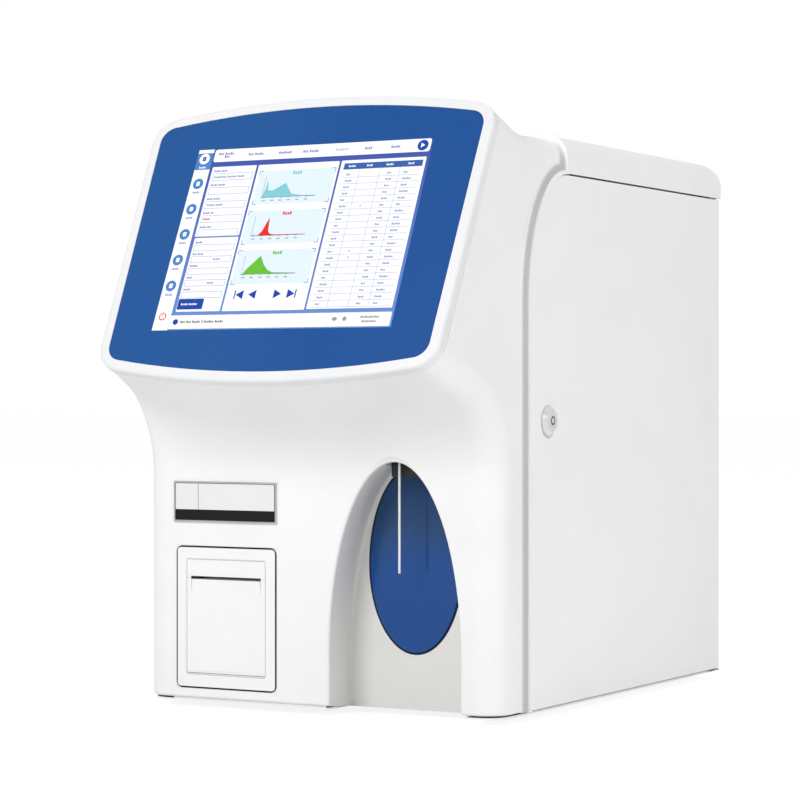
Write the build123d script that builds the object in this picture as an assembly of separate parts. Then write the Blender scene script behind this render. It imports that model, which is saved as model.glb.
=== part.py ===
"""Blood cell analyser for the laboratory bench, built as an assembly of separate pieces.

Lengths are in millimetres. X runs to the right as the operator sees it, Y to
the back and Z up. While the pieces are modelled Y is zero on the lower front
wall and Z is zero on the bench; they are exported about the middle of the
footprint.
"""

from build123d import *
import math
import os

# Stand
FOOT_HEIGHT = 5.0
FOOT_RADIUS = 12.0
FOOT_SPREAD = 115.0
FOOT_ROWS = (80.0, 345.0)
TRAY_SHEET = 1.5
SKIRT_GAP = 1.5
FLOOR = FOOT_HEIGHT + TRAY_SHEET
HOUSING_BOTTOM = FLOOR + SKIRT_GAP

# Sheet metal cabinet
SHEET = 1.5
CABINET_HALF = 163.4
CABINET_REAR = 418.0
COVER_TOP = 449.7
COVER_SKIRT = 30.0
COVER_RADIUS = 18.0
COVER_REAR_RADIUS = 22.0
SEAM = 1.4
DOOR_GAP = 0.8
FLANGE = 8.0
FRAME_GAP = 1.9
FRAME_HALF = CABINET_HALF - SHEET - FLANGE - FRAME_GAP
RAIL_WIDTH = 12.0
RAIL_HEIGHT = 14.0
RAIL_LIFT = 8.0
POST_FLANGE = 10.0
POST_WIDTH = 16.0
HINGE_LUG = 14.0
REAR_RECESS = 6.0
REAR_PANEL_Y = CABINET_REAR - REAR_RECESS
BULKHEAD_Y = 50.0
MIDWALL_X = 8.0

# Moulded front housing
WALL = 2.5
HOUSING_STEP = 2.9
HOUSING_HALF = CABINET_HALF - HOUSING_STEP
HEAD_TILT = 24.8
HEAD_CENTRE = Vector(0, -34.8, 368.1)
NECK_START = 186.0
SADDLE_STEP = 2.7
SADDLE_TOP = COVER_TOP - SADDLE_STEP
SADDLE_RADIUS = 60.0
HOUSING_REACH = 150.0
FLARE_DEPTH = 105.0
LOW_EDGE_RADIUS = 22.0
TOP_EDGE_RADIUS = 18.0
FOOT_ROUND = 2.2

# Shoulder line where the housing meets the cabinet
SHOULDER_Y = 46.0
SHOULDER_TOP_Y = 110.0
SHOULDER_Z = 319.0
SHOULDER_RISE = COVER_TOP - COVER_SKIRT - SEAM / 2 - SHOULDER_Z
BEAD_EDGE = 3.0
BEAD_ROUND = 1.2
BEAD_COVE = 8.0
BEAD_STAND = 4.0

# Display
GLASS_HEIGHT = 226.7
GLASS_HALF = 143.25
GLASS_TAPER = 0.01966
GLASS_BOW = 800.0
GLASS_CORNER = 13.0
GLASS_THICKNESS = 2.4
GLASS_SINK = 0.5
GLASS_GAP = 0.2
RIM = 8.5
RIM_LEDGE = 0.8
BEZEL_DEPTH = 9.0
SCREEN_WIDTH = 211.2
SCREEN_HEIGHT = 158.4
SCREEN_RISE = 1.2
SCREEN_MARGIN = 1.5
LCD_SIZE = (228.0, 178.0, 8.5)
BRACKET_MARGIN = 8.0
BRACKET_LEG = 3.0
BOARD_SIZE = (150.0, 110.0)
BOARD_SHEET = 1.6
STANDOFF = 5.0

# Sample niche, aspirate key and sample probe
NICHE_X = 69.8
NICHE_HALF = 57.5
NICHE_HEIGHT = 188.6
NICHE_SPRING = 40.0
NICHE_DEPTH = 35.0
NICHE_LIP = 2.2
NICHE_FOOT = 3.0
LINER_CORNER = 2.5
LINER_GAP = 0.3
LINER_WALL = 2.0
LINER_FLANGE = 2.9
KEY_HALF = 39.8
KEY_CENTRE_Z = 116.3
KEY_LOW = 67.3
KEY_HIGH = 75.6
KEY_GAP = 1.1
KEY_PROUD = 1.0
KEY_LIP = 2.5
KEY_TRAVEL = 2.5
KEY_PIN_RADIUS = 2.0
KEY_PIN_SPREAD = 28.0
RUNNING_FIT = 0.06
PROBE_X = 68.5
PROBE_Y = 12.0
PROBE_RADIUS = 1.0
PROBE_TIP = 111.6
PROBE_TOP = 232.0
PROBE_TRAVEL = 85.0
RINSE_X = (59.3, 88.0)
RINSE_LOW = 185.0
GUIDE_Y = 62.0
GUIDE_X = 75.0
GUIDE_SPREAD = 20.0
GUIDE_RADIUS = 3.0
CARRIAGE_LOW = 210.0
CARRIAGE_HEIGHT = 25.0
PROBE_FRAME_LOW = 197.0
PROBE_FRAME_HIGH = 328.0
PROBE_SCREW_LEAD = 12.0
MOTOR_SIZE = 35.0
MOTOR_LENGTH = 26.0

# Panel printer
PRINTER_X = -81.2
PRINTER_WIDTH = 90.8
PRINTER_LOW = 17.0
PRINTER_HEIGHT = 110.0
PRINTER_GAP = 0.8
PRINTER_PROUD = 0.6
PRINTER_DOOR_WIDTH = 72.6
PRINTER_DOOR_LOW = 27.0
PRINTER_DOOR_HEIGHT = 90.5
PAPER_SLOT_Z = 102.5
PAPER_SLOT = 1.5
PRINTER_HINGE_Z = 30.0
PRINTER_HINGE_RADIUS = 2.0
PLATEN_RADIUS = 5.0
PLATEN_Y = 6.5
PLATEN_Z = 97.0
PLATEN_LENGTH = 58.0
ROLL_RADIUS = 19.0
ROLL_CORE = 6.5
ROLL_Y = 28.0
ROLL_SEAT = 0.25

# Notice plate
PLATE_X = (-130.0, -34.0)
PLATE_Z = (147.0, 179.5)
PLATE_THICKNESS = 1.2

# Service door, hinge and lock
HINGE_PIN_RADIUS = 1.5
BARREL_RADIUS = 3.4
HINGE_X = CABINET_HALF - BARREL_RADIUS
HINGE_SET = 0.6
HINGE_Y = REAR_PANEL_Y + HINGE_SET
LOCK_Y = 76.0
LOCK_Z = 228.0
LOCK_STAND = 3.5
LOCK_FLANGE_RADIUS = 11.7
LOCK_BODY_RADIUS = 8.0
LOCK_PLUG_RADIUS = 4.5
LOCK_DEPTH = 18.0
CAM_LENGTH = 23.0
CAM_WIDTH = 10.0
CAM_THICKNESS = 2.0

# Rear fittings
FAN_X = -85.0
FAN_Z = 330.0
FAN_SIZE = 80.0
FAN_DEPTH = 25.0
FAN_BORE = 38.0
FAN_HUB = 16.0
FAN_BLADES = 7
INLET_X = -110.0
INLET_Z = 70.0
INLET_MOUTH = (24.4, 16.6)
SWITCH_TILT = 7.0
SWITCH_Z = 30.0
ROCKER_HALF = 5.6
ROCKER_PIVOT = 1.0
FUSE_Z = 16.0
PORT_DEPTH = 14.0
PORT_X = -6.0
NIPPLE_XS = (50.0, 75.0, 100.0, 125.0)
NIPPLE_Z = 60.0
NIPPLE_RADIUS = 3.2
NIPPLE_LENGTH = 14.0
NIPPLE_TIP = 1.0
STUD_X = -55.0
STUD_Z = 60.0
STUD_RADIUS = 2.0

# Power supply
SUPPLY_SIZE = (98.0, 160.0, 42.0)
SUPPLY_GAP = 10.0

# Syringe module
SYRINGE_Y = 226.0
SYRINGE_PITCH = 24.0
SYRINGE_X = 44.0
SYRINGE_BORES = (6.0, 3.5, 2.0)
GLASS_WALL = 1.5
BARREL_LOW = 236.0
BARREL_HIGH = 312.0
SYRINGE_TRAVEL = 45.0
SYRINGE_REST = 160.0
SYRINGE_GUIDE_X = 24.0
SYRINGE_GUIDE_SPREAD = 28.0
SYRINGE_SCREW_LEAD = 8.0

# Waste pump
WASTE_PUMP_Y = 310.0
WASTE_PUMP_Z = 180.0
WASTE_PUMP_RADIUS = 24.0
WASTE_ROLLER_ORBIT = 13.0
WASTE_ROLLER_RADIUS = 4.0

RISE = math.radians(HEAD_TILT)
UP_PANEL = Vector(0, math.sin(RISE), math.cos(RISE))
INTO_PANEL = Vector(0, math.cos(RISE), -math.sin(RISE))
COVER_BOTTOM = COVER_TOP - COVER_SKIRT
DOOR_TOP = COVER_BOTTOM - SEAM
LINER_BACK = NICHE_DEPTH + LINER_WALL
PROBE_MOTOR_LOW = PROBE_FRAME_HIGH + 3.0


def block(x, y, z):
    """A box between two limits on each axis."""
    size = (x[1] - x[0], y[1] - y[0], z[1] - z[0])
    middle = ((x[0] + x[1]) / 2, (y[0] + y[1]) / 2, (z[0] + z[1]) / 2)
    return Pos(*middle) * Box(*size)


def rod_x(y, z, x, radius):
    """A cylinder along X through (y, z) between two X values."""
    return Pos((x[0] + x[1]) / 2, y, z) * Rot(0, 90, 0) * Cylinder(radius, x[1] - x[0])


def rod_y(x, z, y, radius):
    """A cylinder along Y through (x, z) between two Y values."""
    return Pos(x, (y[0] + y[1]) / 2, z) * Rot(90, 0, 0) * Cylinder(radius, y[1] - y[0])


def rod_z(x, y, z, radius):
    """A cylinder along Z through (x, y) between two Z values."""
    return Pos(x, y, (z[0] + z[1]) / 2) * Cylinder(radius, z[1] - z[0])


def side_slab(face, x):
    """A face drawn in (Y, Z), given thickness between two X values."""
    return extrude(Plane.YZ.offset(x[0]) * face, amount=x[1] - x[0], dir=(1, 0, 0))


def front_slab(face, y):
    """A face drawn in (X, Z), given thickness between two Y values."""
    return extrude(Plane.XZ.offset(-y[0]) * face, amount=y[1] - y[0], dir=(0, 1, 0))


def mirrored(shape):
    """The same piece on the other side of the middle plane."""
    return mirror(shape, about=Plane.YZ)


def on_panel(depth):
    """The sketch plane parallel to the screen, a given depth behind its face."""
    return Plane(
        origin=HEAD_CENTRE + INTO_PANEL * depth,
        x_dir=(1, 0, 0),
        z_dir=INTO_PANEL * -1,
    )


def panel_slab(face, depth):
    """A face drawn on the panel, given thickness between two depths behind it."""
    return extrude(on_panel(depth[0]) * face, amount=depth[1] - depth[0], dir=INTO_PANEL)


def panel_point(up, depth):
    """(Y, Z) of a point that lies up the panel and behind its face."""
    point = HEAD_CENTRE + UP_PANEL * up + INTO_PANEL * depth
    return point.Y, point.Z


def glass_outline(grow):
    """Panel outline: slightly tapered sides with a bowed top and bottom edge."""
    half_height = GLASS_HEIGHT / 2 + grow
    corners = []
    for end in (-1, 1):
        half = GLASS_HALF + grow + GLASS_TAPER * end * half_height
        sag = half * half / (2 * GLASS_BOW)
        corners.append((half, end * (half_height - sag)))
    (low_half, low), (high_half, high) = corners
    outline = Wire(
        [
            ThreePointArc((-low_half, low), (0, -half_height), (low_half, low)),
            Line((low_half, low), (high_half, high)),
            ThreePointArc((high_half, high), (0, half_height), (-high_half, high)),
            Line((-high_half, high), (-low_half, low)),
        ]
    )
    face = Face(outline)
    return fillet(face.vertices(), GLASS_CORNER + grow)


def behind_shoulder(shift, low, rear):
    """The (Y, Z) area behind the shoulder line, moved back by shift."""
    front = SHOULDER_Y + shift
    reach = SHOULDER_TOP_Y - front
    rise = SHOULDER_RISE - shift
    top = SHOULDER_Z + rise
    sweep = EllipticalCenterArc((SHOULDER_TOP_Y, SHOULDER_Z), reach, rise, 180, arc_size=-90)
    outline = Wire(
        [
            Line((rear, low), (front, low)),
            Line((front, low), (front, SHOULDER_Z)),
            sweep,
            Line((SHOULDER_TOP_Y, top), (rear, top)),
            Line((rear, top), (rear, low)),
        ]
    )
    return Face(outline)


def behind_housing(shift):
    """Solid behind the whole rear edge of the front housing, moved back by shift."""
    half = CABINET_HALF + 30
    lower = side_slab(behind_shoulder(shift, -20, 600), (-half, half))
    upper = block((-half, half), (SHOULDER_TOP_Y + shift, 600), (SHOULDER_Z, 600))
    return lower + upper


def housing_section(x, inset):
    """Closed side profile of the housing at one distance from the middle plane."""
    bow = x * x / (2 * GLASS_BOW)
    half = GLASS_HEIGHT / 2 + RIM - RIM_LEDGE - inset
    wall = inset
    low = bow - half
    high = half - bow
    start = panel_point(low, 0)
    run = (wall - start[0]) / math.cos(RISE)
    corner_z = start[1] - run * math.sin(RISE)
    tangent = corner_z - NECK_START
    turn = (math.pi / 2 - RISE) / 2
    radius = tangent / math.tan(turn)
    arc_end = (wall - tangent * math.cos(RISE), corner_z + tangent * math.sin(RISE))
    arc_mid = (wall - radius * (1 - math.cos(turn)), NECK_START + radius * math.sin(turn))
    front = BEZEL_DEPTH if inset == 0 else -20.0
    bottom = HOUSING_BOTTOM if inset == 0 else 0.0
    saddle = SADDLE_TOP - inset
    top = panel_point(high, 0)
    corner_y = top[0] + (top[1] - saddle) / math.tan(RISE)
    reach = SADDLE_RADIUS * math.tan(RISE / 2)
    dip_start = (corner_y - reach * math.cos(RISE), saddle + reach * math.sin(RISE))
    dip_mid = (
        corner_y + reach - SADDLE_RADIUS * math.sin(RISE / 2),
        saddle + SADDLE_RADIUS * (1 - math.cos(RISE / 2)),
    )
    dip_end = (corner_y + reach, saddle)
    points = [
        (wall, bottom),
        (wall, NECK_START),
        arc_mid,
        arc_end,
        panel_point(low, front),
        panel_point(high, front),
        dip_start,
        dip_mid,
        dip_end,
        (HOUSING_REACH, saddle),
        (HOUSING_REACH, bottom),
    ]
    p = [(x, y, z) for y, z in points]
    return Wire(
        [
            Line(p[0], p[1]),
            ThreePointArc(p[1], p[2], p[3]),
            Line(p[3], p[4]),
            Line(p[4], p[5]),
            Line(p[5], p[6]),
            ThreePointArc(p[6], p[7], p[8]),
            Line(p[8], p[9]),
            Line(p[9], p[10]),
            Line(p[10], p[0]),
        ]
    )


def housing_side(sign, inset):
    """What the flared side of the housing leaves outside it."""
    sections = []
    for up in (170.0, -430.0):
        rim_half = GLASS_HALF + GLASS_TAPER * up + RIM - RIM_LEDGE
        slope = (HOUSING_HALF - rim_half) / FLARE_DEPTH * 1.25
        inner = rim_half - inset
        outer = HOUSING_HALF - inset
        far = HOUSING_HALF + 60

        def point(across, depth):
            y, z = panel_point(up, depth)
            return sign * across, y, z

        rise = (sign * slope, INTO_PANEL.Y, INTO_PANEL.Z)
        straight = (0, INTO_PANEL.Y, INTO_PANEL.Z)
        start = point(inner - slope * 60, -60)
        flare = Spline(point(inner, 0), point(outer, FLARE_DEPTH), tangents=[rise, straight])
        sections.append(
            Wire(
                [
                    Line(start, point(inner, 0)),
                    flare,
                    Line(point(outer, FLARE_DEPTH), point(outer, 460)),
                    Line(point(outer, 460), point(far, 460)),
                    Line(point(far, 460), point(far, -60)),
                    Line(point(far, -60), start),
                ]
            )
        )
    return Solid.make_loft(sections, ruled=True)


def side_edges(solid, inset, low, high):
    """Sharp edges along the flared sides that start and end between two heights."""
    front = BEZEL_DEPTH if inset == 0 else -20.0
    bottom = HOUSING_BOTTOM if inset == 0 else 0.0
    chosen = []
    for edge in solid.edges():
        points = [edge @ 0.0, edge @ 0.5, edge @ 1.0]
        depths = [(p - HEAD_CENTRE).dot(INTO_PANEL) for p in points]
        if not all(abs(p.X) > GLASS_HALF - inset for p in points):
            continue
        if not all(low <= p.Z <= high for p in points):
            continue
        flat = (
            all(abs(p.Y - HOUSING_REACH) < 0.1 for p in points)
            or all(abs(p.Z - bottom) < 0.1 for p in points)
            or all(abs(d - front) < 0.1 for d in depths)
            or all(abs(d - FLARE_DEPTH) < 0.1 for d in depths)
        )
        if not flat:
            chosen.append(edge)
    return chosen


def housing_body(inset):
    """Solid housing form, or the space inside it when inset by the wall."""
    sections = [housing_section(x, inset) for x in (-175, -90, 0, 90, 175)]
    body = Solid.make_loft(sections)
    for sign in (-1, 1):
        body = (body - housing_side(sign, inset)).solid()
    body = body.fillet(LOW_EDGE_RADIUS - inset, side_edges(body, inset, -5, 300))
    return body.fillet(TOP_EDGE_RADIUS - inset, side_edges(body, inset, 440, 500))


def tunnel(half, top, radius):
    """Round-cornered prism along Y, as wide as the cabinet, standing on the skirt line."""
    prism = block((-half, half), (0, 300), (HOUSING_BOTTOM, top))
    edges = prism.edges().filter_by(Axis.Y).sort_by(Axis.Z)[-2:]
    return fillet(edges, radius)


def about(middle, half):
    """Limits at one distance on either side of a middle."""
    return (middle - half, middle + half)


def bead_profile():
    """Cove and rounded edge of the bead, as (distance before the rear edge, stand)."""
    hollow = BEAD_STAND - BEAD_ROUND
    points = [(BEAD_EDGE + BEAD_COVE, -WALL / 2)]
    for angle in (10, 30, 50, 70, 90):
        turn = math.radians(angle)
        points.append((BEAD_EDGE + BEAD_COVE * (1 - math.sin(turn)), hollow * (1 - math.cos(turn))))
    for angle in (30, 60, 90):
        turn = math.radians(angle)
        points.append(
            (BEAD_EDGE - BEAD_ROUND * (1 - math.cos(turn)), hollow + BEAD_ROUND * math.sin(turn))
        )
    return points


def hoop(stand, y):
    """Outline of the bead over the top at one stand, in the plane at Y."""
    half = HOUSING_HALF + stand
    top = SADDLE_TOP + stand * (1 + (COVER_TOP - SADDLE_TOP) / (2 * BEAD_STAND))
    face = Pos(0, (HOUSING_BOTTOM + top) / 2) * Rectangle(2 * half, top - HOUSING_BOTTOM)
    corners = face.vertices().sort_by(Axis.Y)[-2:]
    return (Plane.XZ.offset(-y) * fillet(corners, TOP_EDGE_RADIUS + stand)).face().outer_wire()


def shoulder_bead():
    """Flared rim around the rear edge of the front housing."""
    inner = tunnel(HOUSING_HALF - WALL, SADDLE_TOP - WALL, TOP_EDGE_RADIUS - WALL)
    sides = []
    hoops = []
    for before, stand in bead_profile():
        area = behind_shoulder(-before, HOUSING_BOTTOM, HOUSING_REACH)
        sides.append((Plane.YZ.offset(HOUSING_HALF + stand) * area).outer_wire())
        hoops.append(hoop(stand, SHOULDER_TOP_Y - before))
    hoops.append(hoop(BEAD_STAND, SHOULDER_TOP_Y))
    side = Solid.make_loft(sides, ruled=True)
    bead = Solid.make_loft(hoops, ruled=True) + side + mirrored(side)
    return bead - inner - behind_housing(0)


def arch(grow):
    """Outline of the niche in (X, Z): upright sides under half an ellipse."""
    half = NICHE_HALF + grow
    spring = HOUSING_BOTTOM + NICHE_SPRING
    rise = NICHE_HEIGHT - NICHE_SPRING + grow
    left, right = NICHE_X - half, NICHE_X + half
    return Face(
        Wire(
            [
                Line((right, HOUSING_BOTTOM), (right, spring)),
                EllipticalCenterArc((NICHE_X, spring), half, rise, arc_size=180),
                Line((left, spring), (left, HOUSING_BOTTOM)),
                Line((left, HOUSING_BOTTOM), (right, HOUSING_BOTTOM)),
            ]
        )
    )


def niche_opening():
    """What the niche takes out of the front wall: its arch, with a rounded lip and feet."""
    outlines = [(NICHE_LIP + 3, 0.0), (NICHE_LIP, 0.0)]
    for angle in (22, 45, 68, 90):
        turn = math.radians(angle)
        outlines.append((NICHE_LIP * (1 - math.sin(turn)), NICHE_LIP * (1 - math.cos(turn))))
    outlines.append((-4.0, NICHE_LIP + 4.0))
    wires = [(Plane.XZ.offset(-y) * arch(grow)).outer_wire() for y, grow in outlines]
    opening = Solid.make_loft(wires, ruled=True)
    top = HOUSING_BOTTOM + NICHE_FOOT
    for side in (-1, 1):
        far = NICHE_X + side * (NICHE_HALF + NICHE_FOOT)
        middle = far - side * NICHE_FOOT / 2
        corner = block(about(middle, NICHE_FOOT / 2), (-5, NICHE_LIP + 3), (HOUSING_BOTTOM, top))
        opening = opening + (corner - rod_y(far, top, (-6, NICHE_LIP + 4), NICHE_FOOT))
    return opening


def key_outline(grow):
    """Egg-shaped outline of the aspirate key in (X, Z)."""
    half = KEY_HALF + grow
    centre = (NICHE_X, KEY_CENTRE_Z)
    top = EllipticalCenterArc(centre, half, KEY_HIGH + grow, 0, arc_size=180)
    bottom = EllipticalCenterArc(centre, half, KEY_LOW + grow, 180, arc_size=180)
    return Face(Wire([top, bottom]))


def centred(x, z, width, height):
    """Rectangle in (X, Z) by its middle and size."""
    return Pos(x, z) * Rectangle(width, height)


BOSS_RADIUS = 4.0
BOSS_X = FRAME_HALF - 9.0
BOSSES = [(s * BOSS_X, z) for s in (-1, 1) for z in (30.0, 160.0)]
TABS_Z = (240.0, 256.0)


def foot_edges(body):
    """Bottom edges of the front and the sides of the housing."""
    chosen = []
    for edge in body.edges():
        points = [edge @ 0.0, edge @ 0.5, edge @ 1.0]
        flat = all(abs(p.Z - HOUSING_BOTTOM) < 0.01 for p in points)
        if flat and points[1].Y < HOUSING_REACH - 1:
            chosen.append(edge)
    return chosen


def front_housing():
    """Moulded front: lower wall, neck, head, openings, rear bead and bosses."""
    body = housing_body(0)
    body = body.fillet(FOOT_ROUND, foot_edges(body)) - behind_housing(0)
    body = body + shoulder_bead()
    body = body - housing_body(WALL)
    middle = PRINTER_LOW + PRINTER_HEIGHT / 2
    hole = centred(
        PRINTER_X, middle, PRINTER_WIDTH + 2 * PRINTER_GAP, PRINTER_HEIGHT + 2 * PRINTER_GAP
    )
    body = body - front_slab(hole, (-10, 10)) - niche_opening()
    for x, z in BOSSES:
        body = body + rod_y(x, z, (WALL - 0.3, BULKHEAD_Y), BOSS_RADIUS)
        body = body - rod_y(x, z, (BULKHEAD_Y - 12, BULKHEAD_Y), 2.0)
    for sign in (-1, 1):
        tab = block((FRAME_HALF - 6, HOUSING_HALF - 1), (SHOULDER_Y - 7, SHOULDER_Y - 0.5), TABS_Z)
        tab = tab + block((FRAME_HALF - 6, FRAME_HALF - 0.5), (SHOULDER_Y - 0.5, BULKHEAD_Y), TABS_Z)
        body = body + (tab if sign > 0 else mirrored(tab))
    roof = panel_point(GLASS_HEIGHT / 2 + RIM - RIM_LEDGE, 0)
    top = roof[1] - (BULKHEAD_Y - roof[0]) * math.tan(RISE) - WALL / 2
    return body + block((-20, 20), (BULKHEAD_Y - 6, BULKHEAD_Y), (424, top))


def display_bezel():
    """White rim around the panel, with the pocket that the glass lies in."""
    bezel = panel_slab(glass_outline(RIM), (0, BEZEL_DEPTH))
    front = bezel.faces().sort_by(Axis((0, 0, 0), INTO_PANEL))[0]
    bezel = fillet(front.edges(), 2.5)
    pocket = panel_slab(glass_outline(GLASS_GAP), (-1, GLASS_SINK + GLASS_THICKNESS))
    window = Pos(0, SCREEN_RISE) * Rectangle(
        SCREEN_WIDTH + 2 * SCREEN_MARGIN, SCREEN_HEIGHT + 2 * SCREEN_MARGIN
    )
    return bezel - pocket - panel_slab(window, (0, BEZEL_DEPTH + 1))


def touch_glass():
    """Touch panel glass."""
    return panel_slab(glass_outline(0), (GLASS_SINK, GLASS_SINK + GLASS_THICKNESS))


def lcd_module():
    """Liquid crystal display behind the window."""
    low = BEZEL_DEPTH
    body = Pos(0, SCREEN_RISE) * Rectangle(LCD_SIZE[0], LCD_SIZE[1])
    face = Pos(0, SCREEN_RISE) * Rectangle(SCREEN_WIDTH, SCREEN_HEIGHT)
    lcd = panel_slab(body, (low, low + LCD_SIZE[2]))
    return lcd + panel_slab(face, (low - 3.0, low))


def display_bracket():
    """Sheet that clamps the display to the rim on six legs."""
    low = BEZEL_DEPTH + LCD_SIZE[2]
    width = LCD_SIZE[0] + 2 * BRACKET_MARGIN
    height = LCD_SIZE[1] + 2 * BRACKET_MARGIN
    sheet = Pos(0, SCREEN_RISE) * Rectangle(width, height)
    plate = panel_slab(sheet, (low, low + SHEET))
    window = Pos(0, SCREEN_RISE + height / 2 - 26) * Rectangle(60, 40)
    plate = plate - panel_slab(window, (low - 1, low + SHEET + 1))
    leg_x = width / 2 - BRACKET_LEG - 0.5
    leg_up = LCD_SIZE[1] / 2 - 9
    for x in (-leg_x, leg_x):
        for up in (-leg_up, 0, leg_up):
            spot = Pos(x, SCREEN_RISE + up) * Circle(BRACKET_LEG)
            plate = plate + panel_slab(spot, (BEZEL_DEPTH, low + 0.1))
    for x in (-1, 1):
        for up in (-1, 1):
            spot = Pos(x * (BOARD_SIZE[0] / 2 - 6), up * (BOARD_SIZE[1] / 2 - 6)) * Circle(3.0)
            plate = plate + panel_slab(spot, (low + SHEET - 0.1, low + SHEET + STANDOFF))
    return plate


def display_board():
    """Panel controller board with its main chips and sockets."""
    low = BEZEL_DEPTH + LCD_SIZE[2] + SHEET + STANDOFF
    board = panel_slab(Rectangle(*BOARD_SIZE), (low, low + BOARD_SHEET))
    chips = ((-20, 10, 24, 24, 2), (25, 12, 14, 20, 2), (0, -35, 40, 8, 6), (48, -30, 12, 18, 5))
    for x, up, width, height, rise in chips:
        spot = Pos(x, up) * Rectangle(width, height)
        board = board + panel_slab(spot, (low + BOARD_SHEET - 0.1, low + BOARD_SHEET + rise))
    return board


def niche_liner():
    """Moulded pocket behind the arch, with the key opening and the probe slot."""
    shell = front_slab(arch(LINER_WALL), (WALL, LINER_BACK))
    shell = shell + front_slab(arch(LINER_FLANGE), (WALL, WALL + LINER_WALL))
    half = NICHE_HALF + LINER_WALL
    edge = Polyline(
        (WALL, HOUSING_BOTTOM), (LINER_BACK, FOOT_HEIGHT), (LINER_BACK, HOUSING_BOTTOM), close=True
    )
    skirt = Pos(NICHE_X - half, 0, 0) * extrude(Plane.YZ * make_face(edge), amount=2 * half)
    skirt = skirt - block(about(NICHE_X, NICHE_HALF), (0, NICHE_DEPTH), (0, HOUSING_BOTTOM + 1))
    pocket = front_slab(arch(0), (WALL - 1, NICHE_DEPTH))
    corner = pocket.faces().sort_by(Axis.Y)[-1].edges().sort_by(Axis.Z)[1:]
    shell = shell - fillet(corner, LINER_CORNER) + skirt
    roof = HOUSING_BOTTOM + NICHE_HEIGHT
    slot = block((RINSE_X[0] - 1, RINSE_X[1] + 1), (6, NICHE_DEPTH - 2), (roof - 40, roof + 20))
    opening = front_slab(key_outline(KEY_GAP), (NICHE_DEPTH - 1, LINER_BACK + 1))
    return shell - slot - opening


def key_pins():
    """Places of the two guide pins of the key, as (X, Z)."""
    return [(NICHE_X + s * KEY_PIN_SPREAD, KEY_CENTRE_Z) for s in (-1, 1)]


def aspirate_key():
    """Large key that starts a sample, on two guide pins."""
    face_y = NICHE_DEPTH - KEY_PROUD
    plate = front_slab(key_outline(0), (face_y, LINER_BACK))
    front = plate.faces().sort_by(Axis.Y)[0]
    plate = fillet(front.edges(), 0.8)
    lip_back = LINER_BACK + 1.5
    plate = plate + front_slab(key_outline(KEY_LIP), (LINER_BACK, lip_back))
    for x, z in key_pins():
        plate = plate + rod_y(x, z, (lip_back - 0.5, BULKHEAD_Y + 5), KEY_PIN_RADIUS)
    return plate + rod_y(NICHE_X, KEY_CENTRE_Z, (lip_back - 0.5, lip_back + 3), 4.0)


def key_springs():
    """Return springs around the guide pins of the key."""
    start = LINER_BACK + 1.5
    length = BULKHEAD_Y - start
    wire = 0.4
    coil = KEY_PIN_RADIUS + 1.2
    springs = []
    for x, z in key_pins():
        path = Helix(pitch=(length - 2 * wire) / 5, height=length - 2 * wire, radius=coil)
        plane = Plane(origin=path @ 0, z_dir=path % 0)
        spring = sweep(plane * Circle(wire), path=path)
        springs.append(Pos(x, start + wire, z) * Rot(-90, 0, 0) * spring)
    return Compound(springs)


def key_switch():
    """Microswitch that the key presses, on the bulkhead."""
    low = LINER_BACK + 4.5 + KEY_TRAVEL + 0.3
    body = block(
        (NICHE_X - 10, NICHE_X + 10), (low, BULKHEAD_Y), (KEY_CENTRE_Z - 5, KEY_CENTRE_Z + 5)
    )
    return body


def probe_needle():
    """Sampling needle: a thin steel tube with a hub at its top."""
    needle = rod_z(PROBE_X, PROBE_Y, (PROBE_TIP, PROBE_TOP), PROBE_RADIUS)
    hub = rod_z(PROBE_X, PROBE_Y, (CARRIAGE_LOW + 12, PROBE_TOP), 3.0)
    return needle + hub


def probe_carriage():
    """Slide block on two guide rods, with the arm that holds the needle."""
    half = GUIDE_SPREAD + 7
    high = CARRIAGE_LOW + CARRIAGE_HEIGHT
    body = block((GUIDE_X - half, GUIDE_X + half), (54, 70), (CARRIAGE_LOW, high))
    arm = block((PROBE_X - 6.5, PROBE_X + 6.5), (5, 54), (CARRIAGE_LOW + 2, CARRIAGE_LOW + 12))
    body = body + arm
    for side in (-1, 1):
        x = GUIDE_X + side * GUIDE_SPREAD
        body = body - rod_z(x, GUIDE_Y, (CARRIAGE_LOW - 1, high + 1), GUIDE_RADIUS + RUNNING_FIT)
    body = body - rod_z(GUIDE_X, GUIDE_Y, (CARRIAGE_LOW - 1, high + 1), GUIDE_RADIUS + RUNNING_FIT)
    return body - rod_z(PROBE_X, PROBE_Y, (CARRIAGE_LOW, CARRIAGE_LOW + 14), PROBE_RADIUS)


def probe_frame():
    """Bent sheet channel that carries the guide rods and the lift motor."""
    left, right = GUIDE_X - 34, GUIDE_X + 34
    span = (PROBE_FRAME_LOW, PROBE_FRAME_HIGH + 3)
    back = block((left, right), (74, 74 + SHEET), span)
    front = BULKHEAD_Y + SHEET
    for low in (PROBE_FRAME_LOW, PROBE_FRAME_HIGH):
        back = back + block((left, right), (front, 74), (low, low + 3))
    for x, foot in ((left, left - 8), (right - SHEET, right + 8)):
        back = back + block((x, x + SHEET), (front, 74), span)
        edge = (min(foot, x), max(foot, x + SHEET))
        back = back + block(edge, (front, front + SHEET), span)
    for x in (GUIDE_X - GUIDE_SPREAD, GUIDE_X + GUIDE_SPREAD):
        back = back - rod_z(x, GUIDE_Y, (190, 340), GUIDE_RADIUS)
    back = back - rod_z(GUIDE_X, GUIDE_Y, (190, 340), GUIDE_RADIUS + RUNNING_FIT)
    return back


def probe_screw():
    """Lead screw of the probe lift."""
    return rod_z(GUIDE_X, GUIDE_Y, (PROBE_FRAME_LOW + 0.5, PROBE_MOTOR_LOW + 16), GUIDE_RADIUS)


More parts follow.
